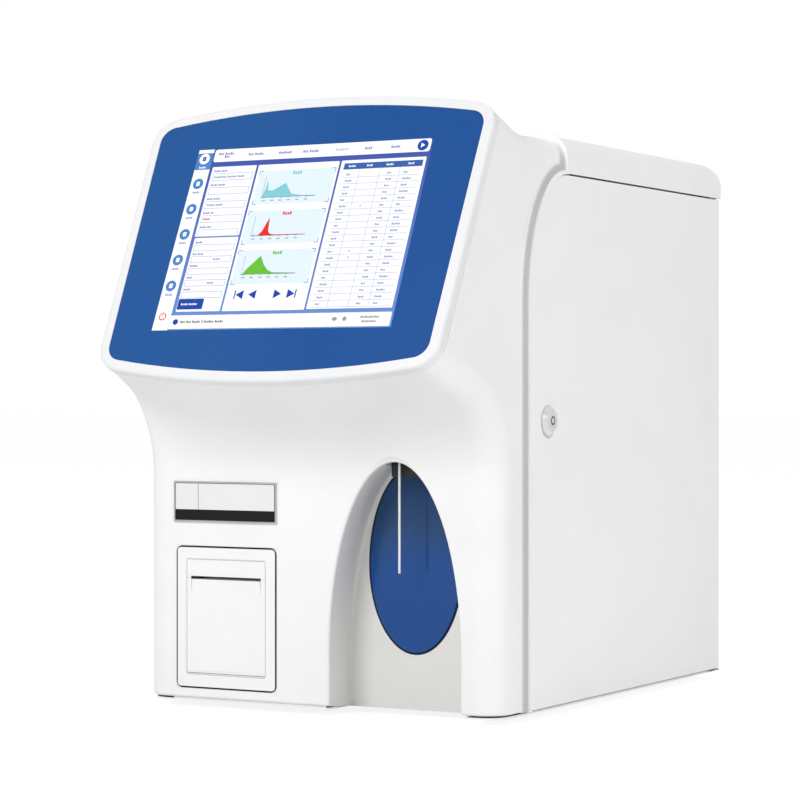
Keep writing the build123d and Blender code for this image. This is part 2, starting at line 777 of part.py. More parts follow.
def stepper(x, y, z):
    """Square stepper motor with chamfered corners and a shaft hole, along Z."""
    half = MOTOR_SIZE / 2
    body = block((x - half, x + half), (y - half, y + half), z)
    body = chamfer(body.edges().filter_by(Axis.Z), 4.0)
    return body


def probe_motor():
    """Stepper motor of the probe lift."""
    body = stepper(GUIDE_X, GUIDE_Y, (PROBE_MOTOR_LOW, PROBE_MOTOR_LOW + MOTOR_LENGTH))
    hole = rod_z(
        GUIDE_X, GUIDE_Y, (PROBE_MOTOR_LOW - 1, PROBE_MOTOR_LOW + 17), GUIDE_RADIUS + RUNNING_FIT
    )
    return body - hole


def wash_block():
    """Rinse block around the needle, on an arm from the lift frame."""
    low = PROBE_FRAME_LOW + 3
    body = block((PROBE_X - 8, PROBE_X + 8), (4, 20), (low, low + 8))
    arm = block((PROBE_X - 8, PROBE_X + 8), (20, 60), (low, low + SHEET))
    arm = arm - rod_z(GUIDE_X, GUIDE_Y, (low - 1, low + 3), 6)
    drop = block(RINSE_X, (PROBE_Y + 4, NICHE_DEPTH - 3), (RINSE_LOW, low + 1))
    body = body + arm + drop
    return body - rod_z(PROBE_X, PROBE_Y, (low - 1, low + 9), PROBE_RADIUS + 0.4)


def printer_frame():
    """Printer bezel and the open bucket behind it."""
    half = PRINTER_WIDTH / 2
    mouth = PRINTER_DOOR_WIDTH / 2 + 0.3
    left, right = PRINTER_X - half, PRINTER_X + half
    high = PRINTER_LOW + PRINTER_HEIGHT
    bezel = block((left, right), (-PRINTER_PROUD, 2), (PRINTER_LOW, high))
    bezel = fillet(bezel.edges().filter_by(Axis.Y), 3.0)
    bucket = block((left + 3, right - 3), (2, BULKHEAD_Y), (PRINTER_LOW + 3, high - 3))
    bore = block(
        (PRINTER_X - mouth, PRINTER_X + mouth), (-2, BULKHEAD_Y - SHEET), (PRINTER_LOW + 5, high - 5)
    )
    gate = block(
        (PRINTER_X - mouth, PRINTER_X + mouth),
        (-2, 2),
        (PRINTER_DOOR_LOW - 0.3, PRINTER_DOOR_LOW + PRINTER_DOOR_HEIGHT + 0.3),
    )
    bore = bore - block((left, right), (-2, 2), (0, 200))
    shell = bezel + bucket - bore - gate
    for x in (PRINTER_X - mouth - 3, PRINTER_X + mouth):
        pivot = rod_x(PRINTER_HINGE_RADIUS - PRINTER_PROUD, PRINTER_HINGE_Z, (x, x + 3), 1.0)
        shell = shell - pivot
    return shell


def printer_door():
    """Printer door with its hinge barrel and the two arms of the platen."""
    half = PRINTER_DOOR_WIDTH / 2
    left, right = PRINTER_X - half, PRINTER_X + half
    hinge_y = PRINTER_HINGE_RADIUS - PRINTER_PROUD
    high = PAPER_SLOT_Z
    plate = block((left, right), (-PRINTER_PROUD, hinge_y), (PRINTER_HINGE_Z, high))
    barrel = rod_x(hinge_y, PRINTER_HINGE_Z, (left, right), PRINTER_HINGE_RADIUS)
    plate = plate + barrel
    for end in ((left - 1, left + 4.2), (right - 4.2, right + 1)):
        plate = plate - rod_x(hinge_y, PRINTER_HINGE_Z, end, 1.0 + RUNNING_FIT)
    for x in (PRINTER_X - PLATEN_LENGTH / 2 - 3.2, PRINTER_X + PLATEN_LENGTH / 2 + 0.2):
        arm = block((x, x + 3), (hinge_y - 0.5, PLATEN_Y + 3.5), (PLATEN_Z - 5, PLATEN_Z + 4))
        bore = rod_x(PLATEN_Y, PLATEN_Z, (x - 1, x + 4), 2.0 + RUNNING_FIT)
        plate = plate + (arm - bore)
    return plate


def printer_pivots():
    """Two short pins that the printer door turns on."""
    hinge_y = PRINTER_HINGE_RADIUS - PRINTER_PROUD
    half = PRINTER_DOOR_WIDTH / 2
    mouth = half + 0.3
    spans = ((-mouth - 3, 4 - half), (half - 4, mouth + 3))
    return [
        rod_x(hinge_y, PRINTER_HINGE_Z, (PRINTER_X + low, PRINTER_X + high), 1.0)
        for low, high in spans
    ]


def platen_roller():
    """Rubber platen with its steel shaft ends."""
    half = PLATEN_LENGTH / 2
    body = rod_x(PLATEN_Y, PLATEN_Z, (PRINTER_X - half, PRINTER_X + half), PLATEN_RADIUS)
    return body + rod_x(
        PLATEN_Y, PLATEN_Z, (PRINTER_X - half - 3.2, PRINTER_X + half + 3.2), 2.0
    )


def thermal_head():
    """Print head on a bracket from the back of the bucket."""
    face = PLATEN_Y + PLATEN_RADIUS + 0.3
    half = PLATEN_LENGTH / 2 - 1
    span = (PRINTER_X - half, PRINTER_X + half)
    head = block(span, (face, face + 5), (PLATEN_Z - 8, PLATEN_Z + 8))
    arm = block(span, (face + 3, BULKHEAD_Y - SHEET), (PLATEN_Z + 6, PLATEN_Z + 8))
    return head + arm


def tear_bar():
    """Fixed strip above the paper slot, with a leg to the roof of the bucket."""
    half = PRINTER_DOOR_WIDTH / 2
    span = (PRINTER_X - half, PRINTER_X + half)
    high = PRINTER_DOOR_LOW + PRINTER_DOOR_HEIGHT
    strip = block(span, (-PRINTER_PROUD, 1.4), (PAPER_SLOT_Z + PAPER_SLOT, high))
    shelf = block(span, (0, 6), (high - 2, high))
    roof = PRINTER_LOW + PRINTER_HEIGHT - 5
    return strip + shelf + block(span, (4, 6), (high - 1, roof))


def paper_roll():
    """Roll of printer paper on its core, lying in the bucket."""
    half = PLATEN_LENGTH / 2 - 0.5
    z = PRINTER_LOW + 5 + ROLL_RADIUS + ROLL_SEAT
    span = (PRINTER_X - half, PRINTER_X + half)
    roll = rod_x(ROLL_Y, z, span, ROLL_RADIUS)
    return roll - rod_x(ROLL_Y, z, (span[0] - 1, span[1] + 1), ROLL_CORE)


def notice_plate():
    """Bare aluminium plate with a raised edge on the front wall."""
    plate = block(PLATE_X, (-PLATE_THICKNESS, 0), PLATE_Z)
    inner = block(
        (PLATE_X[0] + 1, PLATE_X[1] - 1), (-PLATE_THICKNESS - 1, 0.4 - PLATE_THICKNESS),
        (PLATE_Z[0] + 1, PLATE_Z[1] - 1),
    )
    return plate - inner


def rubber_feet():
    """Four low feet under the tray."""
    feet = []
    for x in (-FOOT_SPREAD, FOOT_SPREAD):
        for y in FOOT_ROWS:
            foot = Cone(FOOT_RADIUS - 1.5, FOOT_RADIUS, FOOT_HEIGHT)
            feet.append(Pos(x, y, FOOT_HEIGHT / 2) * foot)
    return Compound(feet)


TRAY_HALF = HOUSING_HALF - WALL - 0.3
TRAY_CORNER = LOW_EDGE_RADIUS - WALL
LIP_HALF = TRAY_HALF - TRAY_CORNER - 6.0


def base_tray():
    """Sheet floor with folded edges at the front and the back."""
    front = WALL + 0.3
    floor = block((-TRAY_HALF, TRAY_HALF), (front, REAR_PANEL_Y), (FOOT_HEIGHT, FLOOR))
    corners = floor.edges().filter_by(Axis.Z).sort_by(Axis.Y)[:2]
    floor = fillet(corners, TRAY_CORNER)
    lip_half = LIP_HALF
    lip = block((-lip_half, lip_half), (front, front + SHEET), (FLOOR, FLOOR + 8))
    lip = lip - block(about(NICHE_X, NICHE_HALF + LINER_FLANGE + 1), (0, 20), (0, 50))
    niche = about(NICHE_X, NICHE_HALF + LINER_WALL + LINER_GAP)
    floor = floor - block(niche, (0, LINER_BACK + LINER_GAP), (0, HOUSING_BOTTOM))
    back = block(
        (-lip_half, lip_half), (REAR_PANEL_Y - SHEET, REAR_PANEL_Y), (FLOOR, FLOOR + 8)
    )
    back = back - block((MIDWALL_X - 1, MIDWALL_X + SHEET + 1), (400, 420), (0, 50))
    return floor + lip + back


RAILS_Z = (COVER_BOTTOM + RAIL_LIFT, COVER_BOTTOM + RAIL_LIFT + SHEET)
KEEPER_X = CABINET_HALF - LOCK_DEPTH + 0.4


def bulkhead():
    """Sheet across the cabinet behind the front, with its windows and holes."""
    sheet = block((-FRAME_HALF, FRAME_HALF), (BULKHEAD_Y, BULKHEAD_Y + SHEET), (FLOOR, RAILS_Z[1]))
    motor_top = PROBE_MOTOR_LOW + MOTOR_LENGTH
    half = GUIDE_SPREAD + 10
    sheet = sheet - block(about(GUIDE_X, half), (40, 60), (PROBE_FRAME_LOW - 2, motor_top + 4))
    sheet = sheet - block((-120, -40), (40, 60), (230, 400))
    for x, z in key_pins():
        sheet = sheet - rod_y(x, z, (40, 60), KEY_PIN_RADIUS + RUNNING_FIT)
    for x, z in BOSSES:
        sheet = sheet - rod_y(x, z, (40, 60), 2.0)
    return sheet


def lock_keeper():
    """Angle on the bulkhead that the cam of the lock closes behind."""
    z = (LOCK_Z - 13, LOCK_Z + 13)
    back = BULKHEAD_Y + SHEET
    leg = block((KEEPER_X, KEEPER_X + SHEET), (back, back + 9.5), z)
    foot = block((KEEPER_X, FRAME_HALF), (back, back + SHEET), z)
    return leg + foot


def middle_wall():
    """Upright sheet from the bulkhead to the back that carries the fluid parts."""
    span = (BULKHEAD_Y + SHEET, REAR_PANEL_Y)
    return block((MIDWALL_X, MIDWALL_X + SHEET), span, (FLOOR, RAILS_Z[0]))


def side_frames():
    """Rails and post of each side, with the lugs of the door hinge on the right."""
    span = (BULKHEAD_Y + SHEET, REAR_PANEL_Y)
    web = FRAME_HALF - RAIL_WIDTH
    post_x = FRAME_HALF - 6
    side = block((web, web + SHEET), span, (FLOOR, FLOOR + RAIL_HEIGHT))
    side = side + block((LIP_HALF + 0.3, web), span, (FLOOR, FLOOR + SHEET))
    inner = CABINET_HALF - SHEET
    side = side + block((web, inner - 0.05), (SHOULDER_TOP_Y + 1, REAR_PANEL_Y), RAILS_Z)
    side = side + block((web, FRAME_HALF), span, RAILS_Z)
    height = (FLOOR, RAILS_Z[1])
    side = side + block((post_x, post_x + SHEET), (REAR_PANEL_Y - POST_WIDTH, REAR_PANEL_Y), height)
    side = side + block((post_x - POST_FLANGE, post_x), (REAR_PANEL_Y - SHEET, REAR_PANEL_Y), height)
    lug_y = (REAR_PANEL_Y - 10, REAR_PANEL_Y - 10 + HINGE_LUG)
    lugs = block((post_x, CABINET_HALF - 0.9), lug_y, (FLOOR, FLOOR + SHEET - 0.3))
    lugs = lugs + block((FRAME_HALF - 2, inner - 0.2), lug_y, RAILS_Z)
    right = side + lugs - hinge_pins()
    left = mirrored(side)
    for x, z in REAR_SCREWS:
        right = right - rod_y(x, z, (REAR_PANEL_Y - 12, REAR_PANEL_Y + 18), 1.5)
    for x, z in SIDE_SCREWS:
        left = left - rod_y(x, z, (REAR_PANEL_Y - 12, REAR_PANEL_Y + 18), 1.5)
    return Compound([right, left])


def hinge_pins():
    """Pins of the service door and of the printer door."""
    low = rod_z(HINGE_X, HINGE_Y, (FLOOR, FLOOR + RAIL_HEIGHT), HINGE_PIN_RADIUS)
    high = rod_z(HINGE_X, HINGE_Y, (DOOR_TOP - 8, RAILS_Z[1]), HINGE_PIN_RADIUS)
    return Compound([low, high] + printer_pivots())


def side_panel_blank(low, high, rear):
    """Sheet side with folded front, top and bottom edges, on the right."""
    inner = CABINET_HALF - SHEET
    outline = behind_shoulder(DOOR_GAP, low, rear)
    drop = SHOULDER_Z + SHOULDER_RISE - DOOR_GAP - high
    cut = block((0, 300), (0, 600), (high, high + 50))
    body = side_slab(outline, (inner - FLANGE, CABINET_HALF))
    body = body - cut if drop > 0 else body
    hollow = side_slab(
        behind_shoulder(DOOR_GAP + SHEET, low + SHEET, rear + 5), (inner - FLANGE - 1, inner)
    )
    trim = block((0, 300), (0, 600), (high - SHEET, high + 50))
    return body - (hollow - trim)


def side_door():
    """Service door on the right, with the hinge barrel and the lock hole."""
    low = HOUSING_BOTTOM + 0.6
    door = side_panel_blank(low, DOOR_TOP, HINGE_Y)
    clear = block((0, CABINET_HALF - SHEET), (REAR_PANEL_Y - 10, CABINET_REAR + 12), (0, 600))
    door = door - clear
    barrel = rod_z(HINGE_X, HINGE_Y, (low, DOOR_TOP), BARREL_RADIUS)
    door = door + barrel
    door = door - rod_z(HINGE_X, HINGE_Y, (0, 600), HINGE_PIN_RADIUS + RUNNING_FIT)
    return door - rod_x(LOCK_Y, LOCK_Z, (100, 200), LOCK_BODY_RADIUS)


def door_lock():
    """Lock barrel on the door: round flange outside, threaded body inside."""
    face = CABINET_HALF + LOCK_STAND
    flange = rod_x(LOCK_Y, LOCK_Z, (CABINET_HALF, face), LOCK_FLANGE_RADIUS)
    flange = chamfer(flange.edges().sort_by(Axis.X)[-1:], 3.0)
    body = rod_x(LOCK_Y, LOCK_Z, (CABINET_HALF - LOCK_DEPTH, CABINET_HALF + 0.1), LOCK_BODY_RADIUS)
    bore = rod_x(LOCK_Y, LOCK_Z, (100, 200), LOCK_PLUG_RADIUS + RUNNING_FIT)
    return flange + body - bore


def lock_plug():
    """Turning core of the lock with its cam, drawn unlocked with the cam up."""
    back = CABINET_HALF - LOCK_DEPTH
    face = CABINET_HALF + LOCK_STAND
    plug = rod_x(LOCK_Y, LOCK_Z, (back - CAM_THICKNESS, face + 0.4), LOCK_PLUG_RADIUS)
    keyway = block((face - 2, face + 2), about(LOCK_Y, 0.6), about(LOCK_Z, 2.6))
    cam = block(
        (back - CAM_THICKNESS, back - 0.1),
        about(LOCK_Y, CAM_WIDTH / 2),
        (LOCK_Z - CAM_WIDTH / 2, LOCK_Z + CAM_LENGTH),
    )
    return plug - keyway + cam


def left_panel():
    """Fixed side panel on the left, with a folded rear edge."""
    panel = side_panel_blank(FLOOR, DOOR_TOP, REAR_PANEL_Y + 2 * SHEET)
    inner = CABINET_HALF - SHEET
    rear = block((inner - 22, inner), (REAR_PANEL_Y + SHEET, REAR_PANEL_Y + 2 * SHEET), (FLOOR, DOOR_TOP))
    trim = block((0, inner), (REAR_PANEL_Y, REAR_PANEL_Y + SHEET), (0, 600))
    trim = trim + block((0, inner), (REAR_PANEL_Y - 12, REAR_PANEL_Y), (0, 600))
    panel = mirrored(panel - trim + rear)
    for x, z in SIDE_SCREWS:
        panel = panel - rod_y(x, z, (400, 430), 1.6)
    return panel


def cover_form(inset):
    """Outside of the top cover, or the space under it when inset by the sheet."""
    half = CABINET_HALF - inset
    front = SHOULDER_TOP_Y + 0.5 - (5 if inset else 0)
    low = COVER_BOTTOM - (5 if inset else 0)
    rear, top = CABINET_REAR - inset, COVER_TOP - inset
    body = block((-half, half), (front, rear), (low, top))
    body = fillet(body.edges().filter_by(Axis.Y).sort_by(Axis.Z)[-2:], COVER_RADIUS - inset)
    profile = Pos((front + rear) / 2, (low + top) / 2) * Rectangle(rear - front, top - low)
    corner = profile.vertices().sort_by(lambda v: v.X + v.Y)[-1]
    profile = fillet(corner, COVER_REAR_RADIUS - inset)
    return body & side_slab(profile, (-half - 1, half + 1))


def top_cover():
    """Folded top cover that wraps down both sides and the back."""
    return cover_form(0) - cover_form(SHEET)


FAN_HOLES = [(FAN_X + s * 35.75, FAN_Z + t * 35.75) for s in (-1, 1) for t in (-1, 1)]
PORTS = ((222.0, 16.0, 14.0), (248.0, 13.5, 6.2), (258.0, 13.5, 6.2), (286.0, 12.0, 31.0))
SCREW_X = FRAME_HALF - 10.0
REAR_SCREWS = [(SCREW_X, z) for z in (40.0, 210.0, 380.0)]
SIDE_SCREWS = [(-SCREW_X, z) for z in (40.0, 210.0, 380.0)]


def rear_panel():
    """Rear sheet with the fan opening, vents, inlet, ports and fluid fittings."""
    y = (REAR_PANEL_Y, REAR_PANEL_Y + SHEET)
    panel = block((-CABINET_HALF + 2 * SHEET, FRAME_HALF + 3.5), y, (FLOOR + SHEET, COVER_BOTTOM + 6))
    panel = panel - rod_y(FAN_X, FAN_Z, (400, 430), FAN_BORE)
    for x, z in FAN_HOLES:
        panel = panel - rod_y(x, z, (400, 430), 2.0)
    panel = panel - block((INLET_X - 14, INLET_X + 14), (400, 430), (INLET_Z - 14, INLET_Z + 42))
    for z, width, height in PORTS:
        panel = panel - block(
            (PORT_X - width - 0.5, PORT_X + 0.5), (400, 430), (z - height / 2 - 0.5, z + height / 2 + 0.5)
        )
    for x in NIPPLE_XS:
        panel = panel - rod_y(x, NIPPLE_Z, (400, 430), 5.0)
    panel = panel - rod_y(STUD_X, STUD_Z, (400, 430), STUD_RADIUS)
    for x, z in REAR_SCREWS + SIDE_SCREWS:
        panel = panel - rod_y(x, z, (400, 430), 1.6)
    for row in range(9):
        for x in (-95.0, 60.0, 110.0):
            z = 120.0 + 10 * row if x < 0 else 290.0 + 10 * row
            panel = panel - block((x - 18, x + 18), (400, 430), (z - 2, z + 2))
    return panel


def screws(places, head_y):
    """Pan head screws along Y with their heads outside a rear face."""
    made = []
    for x, z in places:
        shank = rod_y(x, z, (REAR_PANEL_Y - 4, head_y), 1.5)
        head = rod_y(x, z, (head_y, head_y + 2.2), 3.2)
        head = fillet(head.edges().sort_by(Axis.Y)[-1:], 1.0)
        slot = block((x - 2, x + 2), (head_y + 1.2, head_y + 3), (z - 0.4, z + 0.4))
        cross = block((x - 0.4, x + 0.4), (head_y + 1.2, head_y + 3), (z - 2, z + 2))
        made.append(head + shank - slot - cross)
    return made


def case_screws():
    """Screws of the rear panel, the left panel and the front housing."""
    made = screws(REAR_SCREWS, REAR_PANEL_Y + SHEET) + screws(SIDE_SCREWS, REAR_PANEL_Y + 2 * SHEET)
    back = BULKHEAD_Y + SHEET
    for x, z in BOSSES:
        shank = rod_y(x, z, (BULKHEAD_Y - 11, back), 1.9)
        made.append(shank + rod_y(x, z, (back, back + 3), 3.5))
    return Compound(made)


def fan_frame():
    """Square fan frame with its motor bracket."""
    half = FAN_SIZE / 2
    y = (REAR_PANEL_Y - FAN_DEPTH, REAR_PANEL_Y)
    frame = block(about(FAN_X, half), y, about(FAN_Z, half))
    frame = fillet(frame.edges().filter_by(Axis.Y), 4.0)
    frame = frame - rod_y(FAN_X, FAN_Z, (y[0] - 1, y[1] + 1), FAN_BORE)
    for x, z in FAN_HOLES:
        frame = frame - rod_y(x, z, (y[0] - 1, y[1] + 1), 2.0)
    spokes = block(about(FAN_X, FAN_BORE + 1), (y[0], y[0] + 2), about(FAN_Z, 2))
    spokes = spokes + block(about(FAN_X, 2), (y[0], y[0] + 2), about(FAN_Z, FAN_BORE + 1))
    hub = rod_y(FAN_X, FAN_Z, (y[0], y[0] + 3), FAN_HUB)
    axle = rod_y(FAN_X, FAN_Z, (y[0], y[0] + 14), 1.5)
    return frame + spokes + hub + axle


def fan_rotor():
    """Fan wheel with pitched blades around a cup hub."""
    low = REAR_PANEL_Y - FAN_DEPTH + 3.6
    high = REAR_PANEL_Y - 3
    hub = rod_y(FAN_X, FAN_Z, (low, high), FAN_HUB)
    rotor = hub
    for number in range(FAN_BLADES):
        blade = Rot(0, 0, 40) * Box(18, 1.4, FAN_BORE - FAN_HUB)
        blade = Pos(0, 0, FAN_HUB / 2 + FAN_BORE / 2 - 1) * blade
        turned = Rot(0, 360 / FAN_BLADES * number, 0) * blade
        rotor = rotor + Pos(FAN_X, (low + high) / 2, FAN_Z) * turned
    keep = rod_y(FAN_X, FAN_Z, (low, high), FAN_BORE - 1.5)
    rotor = rotor & keep
    return rotor - rod_y(FAN_X, FAN_Z, (low - 1, low + 12), 1.5 + RUNNING_FIT)


def fan_guard():
    """Wire finger guard outside the fan."""
    y = (REAR_PANEL_Y + SHEET, REAR_PANEL_Y + SHEET + 1.8)
    reach = math.hypot(35.75, 35.75)
    guard = None
    for angle in (45, 135):
        bar = Rot(0, angle, 0) * block((-reach, reach), (0, 1.8), (-0.9, 0.9))
        bar = Pos(FAN_X, y[0], FAN_Z) * bar
        guard = bar if guard is None else guard + bar
    for radius in (10.0, 20.0, 30.0):
        ring = rod_y(FAN_X, FAN_Z, y, radius + 0.9) - rod_y(FAN_X, FAN_Z, y, radius - 0.9)
        guard = guard + ring
    for x, z in FAN_HOLES:
        guard = guard + rod_y(x, z, y, 3.4) + rod_y(x, z, (REAR_PANEL_Y - 6, y[1]), 1.9)
    return guard


def mains_inlet():
    """Appliance inlet with a fuse pocket and the opening for the rocker."""
    face = REAR_PANEL_Y + SHEET
    body = block(about(INLET_X, 13.5), (face - 24, face), (INLET_Z - 13.5, INLET_Z + 41.5))
    flange = block(about(INLET_X, 17), (face, face + 2.5), (INLET_Z - 17, INLET_Z + 45))
    flange = fillet(flange.edges().filter_by(Axis.Y), 3.0)
    body = body + flange
    wide, tall = INLET_MOUTH
    mouth = block(about(INLET_X, wide / 2), (face - 15, face + 5), about(INLET_Z, tall / 2))
    body = body - mouth
    for x, z in ((-7, -2), (0, 2), (7, -2)):
        body = body + block(about(INLET_X + x, 1), (face - 15.5, face - 3), about(INLET_Z + z, 2))
    pocket = block(about(INLET_X, 10.1), (face - 20, face + 5), about(INLET_Z + FUSE_Z, 3.6))
    rocker = block(about(INLET_X, 10), (face - 12, face + 5), about(INLET_Z + SWITCH_Z, 6.5))
    body = body - pocket - rocker
    return body - rod_x(face - ROCKER_PIVOT, INLET_Z + SWITCH_Z, (INLET_X - 12, INLET_X + 12), 1.2)


def fuse_drawer():
    """Fuse holder drawer in the inlet."""
    face = REAR_PANEL_Y + SHEET
    middle = INLET_Z + FUSE_Z
    drawer = block(about(INLET_X, 10), (face - 19.8, face + 3.5), about(middle, 3.5))
    for x in (-5, 5):
        trough = block(about(INLET_X + x, 3.2), (face - 18, face - 2), (middle - 2.5, middle + 10))
        drawer = drawer - trough
    return drawer


def power_switch():
    """Rocker with its cross pin, drawn with one end pressed."""
    face = REAR_PANEL_Y + SHEET
    z = INLET_Z + SWITCH_Z
    half = ROCKER_HALF
    profile = Polyline(
        (-half, 0.5), (-half, 4.5), (0, 3.3), (half, 4.5), (half, 0.5), (0, -3.0), close=True
    )
    rocker = extrude(Plane.YZ * make_face(profile), amount=19.4)
    rocker = Pos(-9.7, 0, 0) * rocker
    rocker = Rot(90 - SWITCH_TILT, 0, 0) * Rot(0, 0, 180) * rocker
    rocker = Pos(INLET_X, face - ROCKER_PIVOT, z) * rocker
    return rocker + rod_x(face - ROCKER_PIVOT, z, (INLET_X - 11.8, INLET_X + 11.8), 1.2 - RUNNING_FIT)


def power_supply():
    """Enclosed supply on the tray beside the left rail, with a terminal block."""
    width, depth, height = SUPPLY_SIZE
    left = -(FRAME_HALF - RAIL_WIDTH - SUPPLY_GAP)
    right = left + width
    back = REAR_PANEL_Y - 22
    front = back - depth
    case = block((left, right), (front, back), (FLOOR, FLOOR + height))
    for row in range(8):
        y = front + 28 + 15 * row
        slot = block((left + 10, right - 10), (y, y + 5), (FLOOR + height - 2, FLOOR + height + 1))
        case = case - slot
    terminals = block((left + 5, right - 28), (front - 12, front), (FLOOR, FLOOR + 14))
    return case + terminals


def main_board():
    """Main board on standoffs from the middle wall."""
    board = block((PORT_X, PORT_X + BOARD_SHEET), (220, 408), (200, 372))
    for y in (228, 400):
        for z in (208, 364):
            board = board + rod_x(y, z, (PORT_X + BOARD_SHEET - 0.1, MIDWALL_X), 3.0)
    chips = (
        (250, 260, 30, 30, 3), (300, 260, 20, 14, 2), (300, 300, 20, 14, 2), (250, 320, 24, 24, 8),
        (345, 240, 16, 40, 10), (350, 330, 26, 12, 14),
    )
    for y, z, long, tall, rise in chips:
        chip = block((PORT_X - rise, PORT_X + 0.1), about(y, long / 2), about(z, tall / 2))
        board = board + chip
    return board


def data_sockets():
    """Network, twin serial bus and serial sockets on the edge of the main board."""
    face = REAR_PANEL_Y + SHEET
    made = []
    for z, width, height in PORTS:
        low, high = PORT_X - width, PORT_X
        shell = block((low, high), (face - PORT_DEPTH, face + 0.6), about(z, height / 2))
        if height > 20:
            nose = block((low + 2, high - 2), (REAR_PANEL_Y, face + 6), about(z, 8))
            made.append(shell + nose)
            continue
        mouth = (face - PORT_DEPTH + 2, face + 2)
        hollow = block((low + 1.2, high - 1.2), mouth, about(z, height / 2 - 0.6))
        made.append(shell - hollow)
    return Compound(made)


def fluid_connectors():
    """Four bulkhead hose fittings for the reagents and the waste."""
    face = REAR_PANEL_Y + SHEET
    made = []
    for x in NIPPLE_XS:
        body = rod_y(x, NIPPLE_Z, (REAR_PANEL_Y - 8, face), 4.9)
        collar = rod_y(x, NIPPLE_Z, (face, face + 4), 8.0)
        collar = collar & block((x - 7, x + 7), (0, 500), (NIPPLE_Z - 7, NIPPLE_Z + 7))
        nose = rod_y(x, NIPPLE_Z, (face + 4, face + 4 + NIPPLE_LENGTH), NIPPLE_RADIUS)
        nose = chamfer(nose.edges().sort_by(Axis.Y)[-1:], NIPPLE_TIP)
        made.append(body + collar + nose - rod_y(x, NIPPLE_Z, (300, 500), 1.6))
    return Compound(made)


def ground_stud():
    """Equipotential stud with its nut."""
    face = REAR_PANEL_Y + SHEET
    stud = rod_y(STUD_X, STUD_Z, (REAR_PANEL_Y - 6, face + 12), STUD_RADIUS)
    nut = extrude(RegularPolygon(4.0, 6), amount=1.6, both=True)
    nut = Pos(STUD_X, face + 1.6, STUD_Z) * Rot(90, 0, 0) * nut
    return stud + nut


def syringe_places():
    """(Y, bore) of each metering syringe."""
    return [(SYRINGE_Y + SYRINGE_PITCH * (n - 1), bore) for n, bore in enumerate(SYRINGE_BORES)]


def syringe_frame():
    """Back plate with three shelves that carry the syringes and their drive."""
    back = MIDWALL_X + SHEET
    half = 42.0
    y = (SYRINGE_Y - half, SYRINGE_Y + half)
    frame = block((back, back + 3), y, (SYRINGE_REST - 8, BARREL_HIGH + 8))
    shelves = (
        (SYRINGE_REST - 8, SYRINGE_REST - 2),
        (BARREL_LOW, BARREL_LOW + 6),
        (BARREL_HIGH - 4, BARREL_HIGH + 8),
    )
    for low, high in shelves:
        frame = frame + block((back, SYRINGE_X + 12), y, (low, high))
    for place, bore in syringe_places():
        frame = frame - rod_z(SYRINGE_X, place, (BARREL_LOW - 1, BARREL_HIGH), bore + GLASS_WALL)
        frame = frame - rod_z(SYRINGE_X, place, (BARREL_HIGH, BARREL_HIGH + 20), 1.0)
    for side in (-1, 1):
        place = SYRINGE_Y + side * SYRINGE_GUIDE_SPREAD
        frame = frame - rod_z(SYRINGE_GUIDE_X, place, (SYRINGE_REST - 10, BARREL_LOW + 6), GUIDE_RADIUS)
    return frame - rod_z(
        SYRINGE_GUIDE_X, SYRINGE_Y, (SYRINGE_REST - 10, BARREL_LOW + 6), GUIDE_RADIUS + RUNNING_FIT
    )


def syringe_barrels():
    """Glass barrels of the metering syringes."""
    made = []
    for place, bore in syringe_places():
        outer = rod_z(SYRINGE_X, place, (BARREL_LOW, BARREL_HIGH), bore + GLASS_WALL)
        made.append(outer - rod_z(SYRINGE_X, place, (BARREL_LOW - 1, BARREL_HIGH + 1), bore))
    return Compound(made)


def guide_rods():
    """Ground rods that the probe carriage and the syringe carriage slide on."""
    made = []
    for side in (-1, 1):
        x = GUIDE_X + side * GUIDE_SPREAD
        y = SYRINGE_Y + side * SYRINGE_GUIDE_SPREAD
        made.append(rod_z(x, GUIDE_Y, (PROBE_FRAME_LOW, PROBE_FRAME_HIGH + 3), GUIDE_RADIUS))
        made.append(rod_z(SYRINGE_GUIDE_X, y, (SYRINGE_REST - 8, BARREL_LOW + 6), GUIDE_RADIUS))
    return Compound(made)


def syringe_carriage():
    """Cross block with the three plungers, drawn at its lower end."""
    low, high = SYRINGE_REST, SYRINGE_REST + 12
    body = block((16, SYRINGE_X + 9), (SYRINGE_Y - 38, SYRINGE_Y + 38), (low, high))
    for side in (-1, 0, 1):
        place = SYRINGE_Y + side * SYRINGE_GUIDE_SPREAD
        body = body - rod_z(SYRINGE_GUIDE_X, place, (low - 1, high + 1), GUIDE_RADIUS + RUNNING_FIT)
    top = BARREL_HIGH - SYRINGE_TRAVEL - 4
    for place, bore in syringe_places():
        body = body + rod_z(SYRINGE_X, place, (high - 1, top), bore * 0.6)
        body = body + rod_z(SYRINGE_X, place, (top - 8, top), bore - RUNNING_FIT)
    return body


def syringe_screw():
    """Lead screw of the syringe drive."""
    return rod_z(SYRINGE_GUIDE_X, SYRINGE_Y, (SYRINGE_REST - 24, BARREL_LOW + 5), GUIDE_RADIUS)


def syringe_motor():
    """Stepper motor under the syringe drive."""
    high = SYRINGE_REST - 8
    x = MIDWALL_X + SHEET + 3 + MOTOR_SIZE / 2 - 3
    body = stepper(x, SYRINGE_Y, (high - MOTOR_LENGTH, high))
    hole = rod_z(SYRINGE_GUIDE_X, SYRINGE_Y, (high - 17, high + 1), GUIDE_RADIUS + RUNNING_FIT)
    return body - hole


